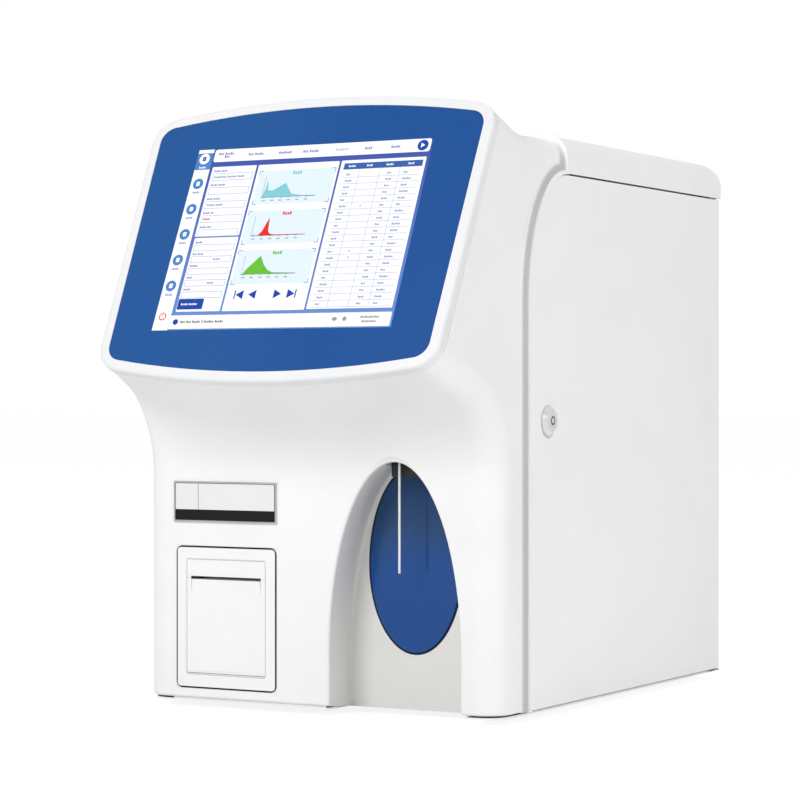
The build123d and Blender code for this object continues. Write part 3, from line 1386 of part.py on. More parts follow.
def waste_pump():
    """Peristaltic pump: round track, cover bosses and geared motor."""
    back = MIDWALL_X + SHEET
    motor = rod_x(WASTE_PUMP_Y, WASTE_PUMP_Z, (back, back + 40), 16.0)
    cup = rod_x(WASTE_PUMP_Y, WASTE_PUMP_Z, (back + 40, back + 64), WASTE_PUMP_RADIUS)
    cup = cup - rod_x(WASTE_PUMP_Y, WASTE_PUMP_Z, (back + 44, back + 70), WASTE_PUMP_RADIUS - 3)
    axle = rod_x(WASTE_PUMP_Y, WASTE_PUMP_Z, (back + 43, back + 62), 2.0)
    return motor + cup + axle


def waste_rotor():
    """Pump rotor with three rollers between two discs."""
    low = MIDWALL_X + SHEET + 44.6
    bore = rod_x(WASTE_PUMP_Y, WASTE_PUMP_Z, (low - 1, low + 30), 2.0 + RUNNING_FIT)
    rotor = rod_x(WASTE_PUMP_Y, WASTE_PUMP_Z, (low, low + 2.5), 15.0)
    rotor = rotor + rod_x(WASTE_PUMP_Y, WASTE_PUMP_Z, (low + 14.5, low + 17), 15.0)
    rotor = rotor + rod_x(WASTE_PUMP_Y, WASTE_PUMP_Z, (low, low + 17), 5.0)
    for number in range(3):
        angle = math.radians(120 * number)
        y = WASTE_PUMP_Y + WASTE_ROLLER_ORBIT * math.cos(angle)
        z = WASTE_PUMP_Z + WASTE_ROLLER_ORBIT * math.sin(angle)
        rotor = rotor + rod_x(y, z, (low + 1, low + 16), WASTE_ROLLER_RADIUS)
    return rotor - bore


def vacuum_pump():
    """Diaphragm pump on the tray: motor, crank case and valve head."""
    motor = rod_y(90, FLOOR + 22, (300, 350), 18.0)
    case = block((70, 110), (350, 386), (FLOOR, FLOOR + 46))
    head = block((72, 108), (352, 384), (FLOOR + 46, FLOOR + 62))
    foot = block((74, 106), (304, 350), (FLOOR, FLOOR + 6))
    ports = rod_z(82, 368, (FLOOR + 60, FLOOR + 72), 3.0) + rod_z(98, 368, (FLOOR + 60, FLOOR + 72), 3.0)
    return motor + case + head + foot + ports


BATH_PLACES = (100.0, 145.0)


def bath_block():
    """Support of the two counting baths on the middle wall."""
    back = MIDWALL_X + SHEET
    body = block((back, back + 50), (78, 167), (196, 202))
    body = body + block((back, back + 3), (78, 167), (196, 270))
    for y in BATH_PLACES:
        body = body - rod_z(back + 30, y, (190, 210), 4.0)
    return body


def counting_baths():
    """Two clear conical cups in which the cells are counted."""
    made = []
    x = MIDWALL_X + SHEET + 30
    for y in BATH_PLACES:
        cup = rod_z(x, y, (216, 258), 15.0) + Pos(x, y, 209) * Cone(5.5, 15.0, 14)
        stem = rod_z(x, y, (192, 204), 4.0)
        bore = rod_z(x, y, (218, 260), 12.5) + Pos(x, y, 212) * Cone(2.5, 12.5, 12.2)
        made.append(cup + stem - bore - rod_z(x, y, (190, 215), 1.5))
    return Compound(made)


VALVE_PLACES = [(y, z) for z in (352.0, 380.0) for y in (100.0, 128.0, 156.0, 184.0)]


def solenoid_valves():
    """Eight equal solenoid valves on the middle wall."""
    made = []
    front = MIDWALL_X + SHEET
    for y, z in VALVE_PLACES:
        base = block((front, front + 12), (y - 9, y + 9), (z - 9, z + 9))
        coil = rod_x(y, z, (front + 12, front + 38), 9.0)
        made.append(base + coil + rod_x(y, z, (front + 38, front + 41), 4.0))
    return Compound(made)


NODES = {
    "rubber_feet": rubber_feet,
    "base_tray": base_tray,
    "bulkhead": bulkhead,
    "lock_keeper": lock_keeper,
    "middle_wall": middle_wall,
    "side_frames": side_frames,
    "front_housing": front_housing,
    "case_screws": case_screws,
    "top_cover": top_cover,
    "left_panel": left_panel,
    "rear_panel": rear_panel,
    "display_bezel": display_bezel,
    "touch_glass": touch_glass,
    "lcd_module": lcd_module,
    "display_bracket": display_bracket,
    "display_board": display_board,
    "notice_plate": notice_plate,
    "niche_liner": niche_liner,
    "aspirate_key": aspirate_key,
    "key_springs": key_springs,
    "key_switch": key_switch,
    "probe_needle": probe_needle,
    "probe_carriage": probe_carriage,
    "probe_frame": probe_frame,
    "guide_rods": guide_rods,
    "probe_screw": probe_screw,
    "probe_motor": probe_motor,
    "wash_block": wash_block,
    "printer_frame": printer_frame,
    "printer_door": printer_door,
    "platen_roller": platen_roller,
    "thermal_head": thermal_head,
    "tear_bar": tear_bar,
    "paper_roll": paper_roll,
    "side_door": side_door,
    "hinge_pins": hinge_pins,
    "door_lock": door_lock,
    "lock_plug": lock_plug,
    "fan_frame": fan_frame,
    "fan_rotor": fan_rotor,
    "fan_guard": fan_guard,
    "mains_inlet": mains_inlet,
    "fuse_drawer": fuse_drawer,
    "power_switch": power_switch,
    "power_supply": power_supply,
    "main_board": main_board,
    "data_sockets": data_sockets,
    "fluid_connectors": fluid_connectors,
    "ground_stud": ground_stud,
    "syringe_frame": syringe_frame,
    "syringe_barrels": syringe_barrels,
    "syringe_carriage": syringe_carriage,
    "syringe_screw": syringe_screw,
    "syringe_motor": syringe_motor,
    "waste_pump": waste_pump,
    "waste_rotor": waste_rotor,
    "vacuum_pump": vacuum_pump,
    "bath_block": bath_block,
    "counting_baths": counting_baths,
    "solenoid_valves": solenoid_valves,
}


def build_all():
    """Every node by name, as modelled."""
    return {name: make() for name, make in NODES.items()}


def footprint_middle(shapes):
    """(X, Y) of the middle of the whole footprint."""
    boxes = [shape.bounding_box() for shape in shapes.values()]
    x = (min(b.min.X for b in boxes) + max(b.max.X for b in boxes)) / 2
    y = (min(b.min.Y for b in boxes) + max(b.max.Y for b in boxes)) / 2
    return x, y


def main():
    """Export every node about the middle of the footprint."""
    os.makedirs("parts", exist_ok=True)
    shapes = build_all()
    x, y = footprint_middle(shapes)
    for name, shape in shapes.items():
        export_step(Pos(-x, -y, 0) * shape, f"parts/{name}.step")


if __name__ == "__main__":
    main()
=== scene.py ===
"""Bench blood cell analyser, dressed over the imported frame.

Finishes for every CAD node, the picture on the display and small flat trim.
"""

import logging
import math
from dataclasses import dataclass
from enum import Enum
from typing import Any

import bmesh
import bpy
from mathutils import Matrix, Vector


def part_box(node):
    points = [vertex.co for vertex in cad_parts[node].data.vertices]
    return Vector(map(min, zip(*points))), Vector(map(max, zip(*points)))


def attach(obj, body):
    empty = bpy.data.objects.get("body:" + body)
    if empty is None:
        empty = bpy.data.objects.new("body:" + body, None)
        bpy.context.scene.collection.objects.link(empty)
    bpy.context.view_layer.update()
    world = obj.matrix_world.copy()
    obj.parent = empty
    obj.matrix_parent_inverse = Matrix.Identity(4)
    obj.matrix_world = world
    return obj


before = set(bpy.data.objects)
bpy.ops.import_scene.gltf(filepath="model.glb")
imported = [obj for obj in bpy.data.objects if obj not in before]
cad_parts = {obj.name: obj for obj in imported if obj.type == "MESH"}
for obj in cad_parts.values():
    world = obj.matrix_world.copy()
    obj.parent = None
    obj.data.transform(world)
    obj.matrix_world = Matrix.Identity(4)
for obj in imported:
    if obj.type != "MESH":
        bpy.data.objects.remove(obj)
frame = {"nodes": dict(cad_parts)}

MM = 0.001
LOG = logging.getLogger("analyser")
Colour = tuple[float, float, float, float]
Box = tuple[float, float, float, float]
Triple = tuple[float, float, float]
Tree = bpy.types.NodeTree
Verts = list[bmesh.types.BMVert]
WHITE = (1.0, 1.0, 1.0, 1.0)
RIGHT = Vector((1.0, 0.0, 0.0))
BACK = Vector((0.0, 1.0, 0.0))
UP = Vector((0.0, 0.0, 1.0))


def linear(hex_colour: str) -> Colour:
    """Turn an sRGB hex colour into a linear one.

    Args:
        hex_colour: the colour as "#RRGGBB".

    Returns:
        Red, green, blue and alpha, linear.
    """
    parts = [int(hex_colour[i : i + 2], 16) / 255 for i in (1, 3, 5)]
    red, green, blue = (
        p / 12.92 if p <= 0.04045 else ((p + 0.055) / 1.055) ** 2.4 for p in parts
    )
    return (red, green, blue, 1.0)


def blended(low: str, high: str, share: float) -> Colour:
    """Mix two hex colours.

    Args:
        low: the colour at share 0.
        high: the colour at share 1.
        share: how far to go from low to high.

    Returns:
        The linear mix.
    """
    first, second = linear(low), linear(high)
    red, green, blue, alpha = (
        a + (b - a) * share for a, b in zip(first, second, strict=True)
    )
    return (red, green, blue, alpha)


def add(
    tree: Tree, kind: str, inputs: dict[str | int, Any] | None = None, **settings: Any
) -> bpy.types.Node:
    """Add one node, with its settings, its values and its links.

    Args:
        tree: the node tree that gets the node.
        kind: the node's type without its "ShaderNode" prefix.
        inputs: a value, or an output socket to link, for each named input.
        **settings: the node's own properties.

    Returns:
        The new node.
    """
    node = tree.nodes.new("ShaderNode" + kind)
    for key, value in settings.items():
        setattr(node, key, value)
    for key, value in (inputs or {}).items():
        if isinstance(value, bpy.types.NodeSocket):
            tree.links.new(value, node.inputs[key])
        else:
            node.inputs[key].default_value = value
    return node


def remap(
    tree: Tree,
    value: Any,
    old: tuple[float, float] = (0.0, 1.0),
    new: tuple[float, float] = (0.0, 1.0),
) -> Any:
    """Move a value from one range to another, and hold it in there.

    Args:
        tree: the node tree.
        value: the output socket to move.
        old: the range that it comes from.
        new: the range that it goes to.

    Returns:
        The output socket.
    """
    names = ("From Min", "From Max", "To Min", "To Max")
    limits = dict(zip(names, old + new, strict=True))
    return add(tree, "MapRange", {"Value": value, **limits}).outputs["Result"]


def maths(tree: Tree, operation: str, *terms: Any, kind: str = "Math") -> Any:
    """Add one operation.

    Args:
        tree: the node tree.
        operation: its name.
        *terms: values or output sockets, in order.
        kind: "Math" or "VectorMath".

    Returns:
        The output socket.
    """
    node = add(tree, kind, dict(enumerate(terms)), operation=operation)
    return node.outputs[0]


def multiplied(tree: Tree, share: Any, first: Any, second: Any) -> Any:
    """Multiply two colours.

    Args:
        tree: the node tree.
        share: how far the second one counts.
        first: the first colour.
        second: the second colour.

    Returns:
        The output socket.
    """
    inputs = {0: share, 6: first, 7: second}
    mix = add(tree, "Mix", inputs, data_type="RGBA", blend_type="MULTIPLY")
    return mix.outputs[2]


def drawn_tint(tree: Tree) -> Any:
    """Colour that the drawing gave each of its patches."""
    return add(tree, "Attribute", attribute_name="tint").outputs["Color"]


def per_metre(size_mm: float) -> float:
    """Texture scale that gives features of this size in millimetres."""
    return 1000.0 / size_mm


DRIFT_ENDS = (0.35, 0.65)
BUMP_STRENGTH = 0.6


@dataclass(frozen=True)
class Finish:
    """A surface: its colour, how far that drifts, its gloss and its grain.

    The base class is a plain moulded or coated skin. Sizes are in millimetres.
    """

    name: str
    colour: str
    shade: str
    grain: float = 0.8
    drift: float = 60.0
    rough: float = 0.45
    rough_drift: float = 0.06
    metallic: float = 0.0
    bump: float = 0.02
    specular: float = 0.5
    transmission: float = 0.0

    def drift_mask(self, tree: Tree, place: Any) -> Any:
        """Slow cloudy mask that moves the colour between the two tones."""
        scale = per_metre(self.drift)
        noise = add(tree, "TexNoise", {"Vector": place, "Scale": scale, "Detail": 3.0})
        return noise.outputs["Fac"]

    def relief(self, tree: Tree, place: Any) -> Any:
        """Height of the grain, from 0 to 1."""
        scale = per_metre(self.grain)
        noise = add(tree, "TexNoise", {"Vector": place, "Scale": scale, "Detail": 2.0})
        return noise.outputs["Fac"]

    def tone(self, tree: Tree, place: Any) -> Any:
        """Colour of the surface at each place."""
        ramp = add(tree, "ValToRGB", {"Fac": self.drift_mask(tree, place)})
        low, high = ramp.color_ramp.elements
        low.position, high.position = DRIFT_ENDS
        low.color, high.color = linear(self.colour), linear(self.shade)
        return ramp.outputs["Color"]

    def gloss(self, tree: Tree, height: Any) -> Any:
        """Roughness, a little higher where the grain stands up."""
        low, high = self.rough - self.rough_drift, self.rough + self.rough_drift
        return remap(tree, height, new=(low, high))

    def build(self) -> bpy.types.Material:
        """Make the material.

        Returns:
            A node material that reads Object coordinates.
        """
        material = bpy.data.materials.new(self.name)
        material.use_nodes = True
        tree = material.node_tree
        shader = tree.nodes["Principled BSDF"]
        place = add(tree, "TexCoord").outputs["Object"]
        height = self.relief(tree, place)
        depth = {"Strength": BUMP_STRENGTH, "Distance": self.bump * MM}
        lift = add(tree, "Bump", {"Height": height, **depth})
        tree.links.new(self.tone(tree, place), shader.inputs["Base Color"])
        tree.links.new(self.gloss(tree, height), shader.inputs["Roughness"])
        tree.links.new(lift.outputs["Normal"], shader.inputs["Normal"])
        for name, value in (
            ("Metallic", self.metallic),
            ("Specular IOR Level", self.specular),
            ("Transmission Weight", self.transmission),
        ):
            shader.inputs[name].default_value = value
        material.diffuse_color = linear(self.colour)
        return material


@dataclass(frozen=True)
class DrawnGrain(Finish):
    """Brushed metal or paper: fine scratches or fibres that run one way."""

    along: Triple = (0.02, 1.0, 1.0)

    def relief(self, tree: Tree, place: Any) -> Any:
        """Grain drawn out along the axis where along is small."""
        stretched = add(tree, "Mapping", {"Vector": place, "Scale": self.along})
        return super().relief(tree, stretched.outputs["Vector"])


@dataclass(frozen=True)
class ZincSheet(Finish):
    """Hot-dip galvanised sheet: flat crystals, each with its own grey and gloss."""

    spangle: float = 7.0

    def drift_mask(self, tree: Tree, place: Any) -> Any:
        """One random value for each crystal."""
        scale = per_metre(self.spangle)
        cells = add(tree, "TexVoronoi", {"Vector": place, "Scale": scale})
        parts = add(tree, "SeparateColor", {"Color": cells.outputs["Color"]})
        return parts.outputs["Red"]


@dataclass(frozen=True)
class FadedFinish(Finish):
    """A skin whose colour runs from one tone to another, start and end in metres."""

    axis: int = 0
    start: float = 0.0
    end: float = 1.0

    def drift_mask(self, tree: Tree, place: Any) -> Any:
        """Share of the way from start to end along one axis."""
        split = add(tree, "SeparateXYZ", {"Vector": place})
        return remap(tree, split.outputs[self.axis], (self.start, self.end))


@dataclass(frozen=True)
class CircuitBoard(Finish):
    """Green solder mask over copper: lighter where a track runs under it."""

    track: float = 4.0
    edge: tuple[float, float] = (0.55, 0.6)

    def drift_mask(self, tree: Tree, place: Any) -> Any:
        """Straight tracks, from square cells."""
        inputs = {"Vector": place, "Scale": per_metre(self.track)}
        cells = add(tree, "TexVoronoi", inputs, distance="CHEBYCHEV", feature="F2")
        return remap(tree, cells.outputs["Distance"], self.edge)


@dataclass(frozen=True)
class LitPicture(Finish):
    """Backlit display behind the front glass: even, a little brighter than print."""

    glow: float = 0.03
    gap: float = 0.97

    def tone(self, tree: Tree, place: Any) -> Any:
        """Colour of each drawn patch, broken by a faint pixel grid."""
        drawn = drawn_tint(tree)
        inputs = {
            "Vector": place,
            "Scale": per_metre(self.grain),
            "Color1": WHITE,
            "Color2": (self.gap, self.gap, self.gap, 1.0),
        }
        grid = add(tree, "TexChecker", inputs)
        return multiplied(tree, 1.0, drawn, grid.outputs["Color"])

    def build(self) -> bpy.types.Material:
        """Make the material, with the picture's own light added."""
        material = super().build()
        tree = material.node_tree
        shader = tree.nodes["Principled BSDF"]
        tree.links.new(drawn_tint(tree), shader.inputs["Emission Color"])
        shader.inputs["Emission Strength"].default_value = self.glow
        return material


@dataclass(frozen=True)
class CoveShadedSkin(Finish):
    """A moulded skin with painted shade in the cove before its rear bead.

    The cove is found by how far the skin stands off a round-cornered outline,
    whose corners turn round a point at reach and rise with this corner radius.
    """

    cove_shade: str = "#C9CACA"
    cove_edge_shade: str = "#EDEDED"
    middle: float = -1.4
    reach: float = 142.5
    rise: float = 429.0
    corner: float = 18.0
    span: float = 4.0
    roof_front: float = -76.5
    cove_edge_shade_at: float = 0.015
    cove_shade_at: tuple[float, float] = (0.1, 0.48)
    clear_at: tuple[float, float] = (0.002, 0.62)

    def stand(self, tree: Tree, place: Any) -> Any:
        """How far the skin stands off the outline, as a share of the span."""
        off = place
        for operation, *terms in (
            ("ADD", (-self.middle * MM, 0.0, 0.0)),
            ("ABSOLUTE",),
            ("SUBTRACT", (self.reach * MM, 0.0, self.rise * MM)),
            ("MAXIMUM",),
            ("MULTIPLY", (1.0, 0.0, 1.0)),
        ):
            off = maths(tree, operation, off, *terms, kind="VectorMath")
        length = add(tree, "VectorMath", {0: off}, operation="LENGTH")
        ends = (self.corner * MM, (self.corner + self.span) * MM)
        return remap(tree, length.outputs["Value"], ends)

    def tone(self, tree: Tree, place: Any) -> Any:
        """Colour of the skin, with painted shade in the cove."""
        plain = super().tone(tree, place)
        ramp = add(tree, "ValToRGB", {"Fac": self.stand(tree, place)})
        # Painted shade: white (no change) outside the cove, light grey at its soft
        # edge, darker grey across it.
        elements = ramp.color_ramp.elements
        elements[0].position, elements[1].position = self.clear_at
        elements[0].color = elements[1].color = WHITE
        elements.new(self.cove_edge_shade_at).color = linear(self.cove_edge_shade)
        for position in self.cove_shade_at:
            elements.new(position).color = linear(self.cove_shade)
        split = add(tree, "SeparateXYZ", {"Vector": place}).outputs
        behind = maths(tree, "GREATER_THAN", split["Y"], self.roof_front * MM)
        below = maths(tree, "LESS_THAN", split["Z"], self.rise * MM)
        where = maths(tree, "MAXIMUM", behind, below)
        ends = ((self.rise + self.corner) * MM, self.rise * MM)
        share = maths(tree, "MULTIPLY", where, remap(tree, split["Z"], ends))
        return multiplied(tree, share, plain, ramp.outputs["Color"])


@dataclass(frozen=True)
class PrintAndShadeSkin(Finish):
    """Screen print, and drawn patches of painted shade in gaps, seams and slots: satin,
    each patch in its own colour.
    """

    thinnest: float = 0.94

    def tone(self, tree: Tree, place: Any) -> Any:
        """Colour of each drawn patch, thinned a little as ink is."""
        drawn = drawn_tint(tree)
        cloud = self.drift_mask(tree, place)
        thin = remap(tree, cloud, new=(self.thinnest, 1.0))
        return multiplied(tree, 1.0, drawn, thin)


class Skin(Enum):
    """Finishes of the analyser, each named for its material and how it was made."""

    # Painted ABS: an even near-white satin, with a fine spark-eroded grain.
    HOUSING = Finish(
        "abs_moulded_painted_white", "#F9F9F8", "#F6F6F6", grain=0.9, rough=0.42
    )
    # The same paint on the front housing, with painted shade in the cove before its
    # bead.
    SHELL_COVE_SHADED = CoveShadedSkin(
        "abs_moulded_painted_white_shell_cove_shade", "#F9F9F8", "#F6F6F6", grain=0.9, rough=0.42
    )
    # Rim of the touch panel: the same white with a cool cast.
    RIM = Finish(
        "abs_moulded_gloss_white", "#F0F1F3", "#EDEEF0", grain=0.9, rough=0.36
    )
    # Powder coat on steel sheet: flatter white with a soft orange peel.
    CABINET = Finish(
        "steel_sheet_powder_coated", "#FAFAFA", "#F7F7F7",
        grain=1.6, rough=0.5, bump=0.03,
    )
    # Glass with a blue print on its back: deep clear colour, little sheen, and painted
    # light that makes it lighter on the left and darker on the right.
    BLUE_GLASS = FadedFinish(
        "glass_back_printed_blue", "#25589A", "#1E5298",
        grain=4.0, rough=0.3, bump=0.002, specular=0.1, start=-0.14, end=0.14,
    )
    # Glossy moulded key: full blue low down, fading up to slate, painted shade and
    # reflection of the dark arch above it.
    KEY = FadedFinish(
        "pc_moulded_gloss_blue_shaded_top", "#11498F", "#264875",
        grain=2.0, rough=0.09, rough_drift=0.02, bump=0.001, specular=0.3,
        axis=2, start=0.08, end=0.185,
    )
    # Liner moulded in light grey ABS, a touch darker than the housing.
    LINER = Finish("abs_moulded_light_grey", "#E9E8E5", "#E4E3E0", grain=0.9)
    # Hot-dip galvanised sheet: grey crystals a few millimetres across.
    ZINC = ZincSheet(
        "steel_sheet_galvanised", "#B4B8BB", "#9EA3A7", rough=0.42, metallic=0.85
    )
    # Ground steel: bright, with marks too fine to see one by one.
    STEEL = DrawnGrain(
        "steel_ground_bright", "#C9CBCC", "#BCBEC0",
        grain=0.4, rough=0.26, metallic=1.0, bump=0.003,
    )
    # Brushed aluminium: pale metal with short scratches along its length.
    ALUMINIUM = DrawnGrain(
        "aluminium_brushed", "#D6D8DA", "#C6C8CB",
        grain=0.5, rough=0.34, metallic=0.9, bump=0.004,
    )
    # Bright chrome plate: mirror-like, slightly uneven in gloss.
    CHROME = Finish(
        "zinc_die_cast_chrome_plated", "#E3E4E6", "#D8DADD",
        grain=3.0, rough=0.16, rough_drift=0.03, metallic=1.0, bump=0.002,
    )
    # Satin chrome on the lock: pale and soft, with only a little mirror in it.
    LOCK = Finish(
        "zinc_die_cast_satin_chrome", "#EFF0F1", "#E5E6E8",
        grain=2.0, drift=9.0, rough=0.2, metallic=0.2, bump=0.002,
    )
    # Polished needle: near-white, a painted highlight that makes it a bright thin line
    # against the key.
    NEEDLE = Finish(
        "steel_stainless_electropolished", "#FCFCFC", "#F2F2F2",
        grain=1.0, drift=6.0, rough=0.32, metallic=0.3, bump=0.001,
    )
    # Natural rubber, moulded: dull black with a dusty bloom.
    RUBBER = Finish(
        "rubber_moulded_black", "#1E1E1F", "#29292A", grain=0.7, rough=0.8, bump=0.05
    )
    # Glass-filled nylon: dark, with the faint swirl of its fibres.
    NYLON_BLACK = Finish(
        "nylon_glass_filled_black", "#1B1C1E", "#25272A",
        grain=0.6, drift=14.0, rough=0.5,
    )
    # Natural nylon or acetal, machined: milky off-white, waxy.
    NYLON_NATURAL = Finish(
        "acetal_machined_natural", "#E9E6DC", "#DFDBCF",
        grain=0.7, drift=20.0, rough=0.4,
    )
    # Blown glass: clear, with a slight grey-green edge.
    CLEAR = Finish(
        "glass_borosilicate_clear", "#E8F1F0", "#DFEBEA",
        grain=5.0, rough=0.06, rough_drift=0.02, bump=0.001, transmission=0.85,
    )
    # Solder mask over copper tracks.
    BOARD = CircuitBoard("epoxy_board_green_mask", "#1C5A3A", "#2B6F4A", rough=0.38)
    # Black anodised motor body: deep matt black with a metal sheen.
    ANODISED = DrawnGrain(
        "aluminium_anodised_black", "#1A1B1D", "#242629",
        grain=0.5, rough=0.42, metallic=0.55, bump=0.004,
    )
    # Display module's painted frame.
    LCD_FRAME = Finish("steel_frame_black_lacquer", "#17181A", "#202124", rough=0.35)
    # Turned brass, slightly dull from handling.
    BRASS = DrawnGrain(
        "brass_turned", "#C9A55A", "#B8934A",
        grain=0.4, rough=0.28, metallic=1.0, bump=0.003,
    )
    # Thermal paper wound on a core: its fibres run round the roll.
    PAPER = DrawnGrain(
        "paper_thermal_coated", "#F6F5F1", "#EEEDE8",
        grain=0.5, rough=0.6, along=(0.15, 1.0, 1.0),
    )
    # Picture of the display.
    PICTURE = LitPicture(
        "lcd_picture_behind_glass", "#FFFFFF", "#F4F4F4",
        grain=0.27, rough=0.3, specular=0.1,
    )
    # Ink, and the painted shade drawn in gaps, seams and slots.
    PRINT_AND_SHADE = PrintAndShadeSkin("ink_and_painted_shade", "#FFFFFF", "#F4F4F4", specular=0.15)


SKIN_NODES: dict[Skin, str] = {
    Skin.HOUSING: "printer_frame printer_door tear_bar",
    Skin.SHELL_COVE_SHADED: "front_housing",
    Skin.RIM: "display_bezel",
    Skin.CABINET: "base_tray top_cover left_panel rear_panel side_door",
    Skin.BLUE_GLASS: "touch_glass",
    Skin.KEY: "aspirate_key",
    Skin.LINER: "niche_liner",
    Skin.ZINC: "bulkhead lock_keeper middle_wall side_frames display_bracket"
    " probe_frame power_supply",
    Skin.STEEL: "case_screws key_springs guide_rods probe_screw hinge_pins"
    " data_sockets syringe_screw",
    Skin.ALUMINIUM: "notice_plate probe_carriage thermal_head syringe_frame"
    " syringe_carriage",
    Skin.CHROME: "fan_guard",
    Skin.LOCK: "door_lock lock_plug",
    Skin.NEEDLE: "probe_needle",
    Skin.RUBBER: "rubber_feet platen_roller",
    Skin.NYLON_BLACK: "key_switch wash_block fan_frame fan_rotor mains_inlet"
    " fuse_drawer power_switch waste_pump solenoid_valves",
    Skin.NYLON_NATURAL: "fluid_connectors waste_rotor bath_block",
    Skin.CLEAR: "syringe_barrels counting_baths",
    Skin.BOARD: "display_board main_board",
    Skin.ANODISED: "probe_motor syringe_motor vacuum_pump",
    Skin.LCD_FRAME: "lcd_module",
    Skin.BRASS: "ground_stud",
    Skin.PAPER: "paper_roll",
}
NODE_SKINS = {
    name: skin for skin, names in SKIN_NODES.items() for name in names.split()
}


class Workshop:
    """Keeps one material for each finish and hands it out."""

    def __init__(self) -> None:
        """Start with no materials made."""
        self.made: dict[Skin, bpy.types.Material] = {}

    def skin(self, skin: Skin) -> bpy.types.Material:
        """Return the finish's material, made the first time it is asked for."""
        if skin not in self.made:
            self.made[skin] = skin.value.build()
        return self.made[skin]

    def dress(self, nodes: dict[str, bpy.types.Object]) -> None:
        """Give each CAD node its finish.

        Args:
            nodes: the frame's nodes by name.
        """
        for name, node in nodes.items():
            for place in node.material_slots:
                place.material = self.skin(NODE_SKINS[name])
            LOG.info("dressed %s in %s", name, NODE_SKINS[name].value.name)


class Sketch:
    """A flat drawing in millimetres: thin patches, each with its own tint.

    The values are the thickness of the patches, the steps of a round corner and
    of a curve, and the writing's letter pitch, bar width, space between words
    and heights, each as a share.
    """

    THICK = 0.02
    CORNER_STEPS = 4
    CURVE_STEPS = 60
    PITCH, BAR, SPACE = 0.75, 0.72, 0.6
    TALL, SHORT = 0.5, 0.25

    def __init__(self, layer: float = 0.03) -> None:
        """Start an empty drawing.

        Args:
            layer: height of one layer over the next, in millimetres.
        """
        self.mesh = bmesh.new()
        self.layer = layer
        self.tint = self.mesh.loops.layers.float_color.new("tint")

    def paint(self, verts: Verts, low: str, high: str = "") -> None:
        """Tint the faces round these points.

        Args:
            verts: the points.
            low: colour at the lowest point.
            high: colour at the highest point, where it differs.
        """
        bottom = min(v.co.y for v in verts)
        top = max(v.co.y for v in verts)
        for face in {f for v in verts for f in v.link_faces}:
            for loop in face.loops:
                share = (loop.vert.co.y - bottom) / max(top - bottom, 1e-9)
                loop[self.tint] = blended(low, high or low, share)

    def sheet(self, box: Box, level: int, corner: float) -> Verts:
        """Add a rectangle, with round corners if asked.

        Args:
            box: its left, right, bottom and top.
            level: the layer that it lies on.
            corner: radius of its corners.

        Returns:
            Its points.
        """
        left, right, low, high = box
        centre = ((left + right) / 2, (low + high) / 2, level * self.layer)
        size = Matrix.Diagonal((right - left, high - low, 1.0, 1.0))
        where = Matrix.Translation(centre) @ size
        verts = bmesh.ops.create_grid(
            self.mesh, x_segments=1, y_segments=1, size=0.5, matrix=where
        )["verts"]
        if not corner:
            return verts
        return bmesh.ops.bevel(
            self.mesh,
            geom=verts,
            offset=corner,
            offset_type="OFFSET",
            segments=self.CORNER_STEPS,
            profile=0.5,
            affect="VERTICES",
            material=-1,
        )["verts"]

    def patch(
        self,
        left: float,
        right: float,
        low: float,
        high: float,
        tint: str,
        level: int = 1,
        corner: float = 0.0,
        top_tint: str = "",
    ) -> None:
        """Draw a filled rectangle.

        Args:
            left: its left side.
            right: its right side.
            low: its bottom.
            high: its top.
            tint: its colour.
            level: the layer that it lies on.
            corner: radius of its corners.
            top_tint: colour at the top, where it fades.
        """
        verts = self.sheet((left, right, low, high), level, corner)
        self.paint(verts, tint, top_tint)

    def ring(
        self,
        box: Box,
        width: float,
        tint: str,
        level: int = 1,
        corner: float = 0.0,
    ) -> None:
        """Draw the outline of a rectangle, as a band inside it.

        Args:
            box: its left, right, bottom and top.
            width: width of the band.
            tint: its colour.
            level: the layer that it lies on.
            corner: radius of its corners.
        """
        verts = self.sheet(box, level, corner)
        inner = list({f for v in verts for f in v.link_faces})
        band = bmesh.ops.inset_region(
            self.mesh,
            faces=inner,
            use_boundary=True,
            use_even_offset=True,
            thickness=width,
        )["faces"]
        bmesh.ops.delete(self.mesh, geom=inner, context="FACES")
        self.paint(list({v for f in band for v in f.verts}), tint)

    def disc(
        self,
        x: float,
        u: float,
        radius: float,
        tint: str,
        level: int = 1,
        sides: int = 28,
        turn: float = 0.0,
        squeeze: float = 1.0,
    ) -> None:
        """Draw a disc, or a regular shape of a few sides.

        Args:
            x: its middle, to the right.
            u: its middle, upwards.
            radius: its radius.
            tint: its colour.
            level: the layer that it lies on.
            sides: how many sides it has.
            turn: how far it is turned, in degrees.
            squeeze: its width over its height.
        """
        verts = bmesh.ops.create_circle(
            self.mesh,
            cap_ends=True,
            segments=sides,
            radius=radius,
            matrix=Matrix.Translation((x, u, level * self.layer))
            @ Matrix.Diagonal((squeeze, 1.0, 1.0, 1.0))
            @ Matrix.Rotation(math.radians(turn), 4, "Z"),
        )["verts"]
        self.paint(verts, tint)

    def oval(
        self,
        half: float,
        high: float,
        low: float,
        width: float,
        tint: str,
        sides: int = 96,
    ) -> None:
        """Draw a band round an oval whose upper and lower halves differ.

        Args:
            half: half of the oval's width.
            high: how far it reaches above the middle.
            low: how far it reaches below the middle.
            width: width of the band, outside the oval.
            tint: its colour.
            sides: how many sides it has.
        """
        verts: Verts = []
        for grow in (0.0, width):
            loop = bmesh.ops.create_circle(self.mesh, segments=sides, radius=1.0)
            for vert in loop["verts"]:
                x, u, _ = vert.co
                reach = high if u > 0.0 else low
                vert.co = (x * (half + grow), u * (reach + grow), self.layer)
            verts += loop["verts"]
        edges = list({edge for vert in verts for edge in vert.link_edges})
        bmesh.ops.bridge_loops(self.mesh, edges=edges)
        self.paint(verts, tint)

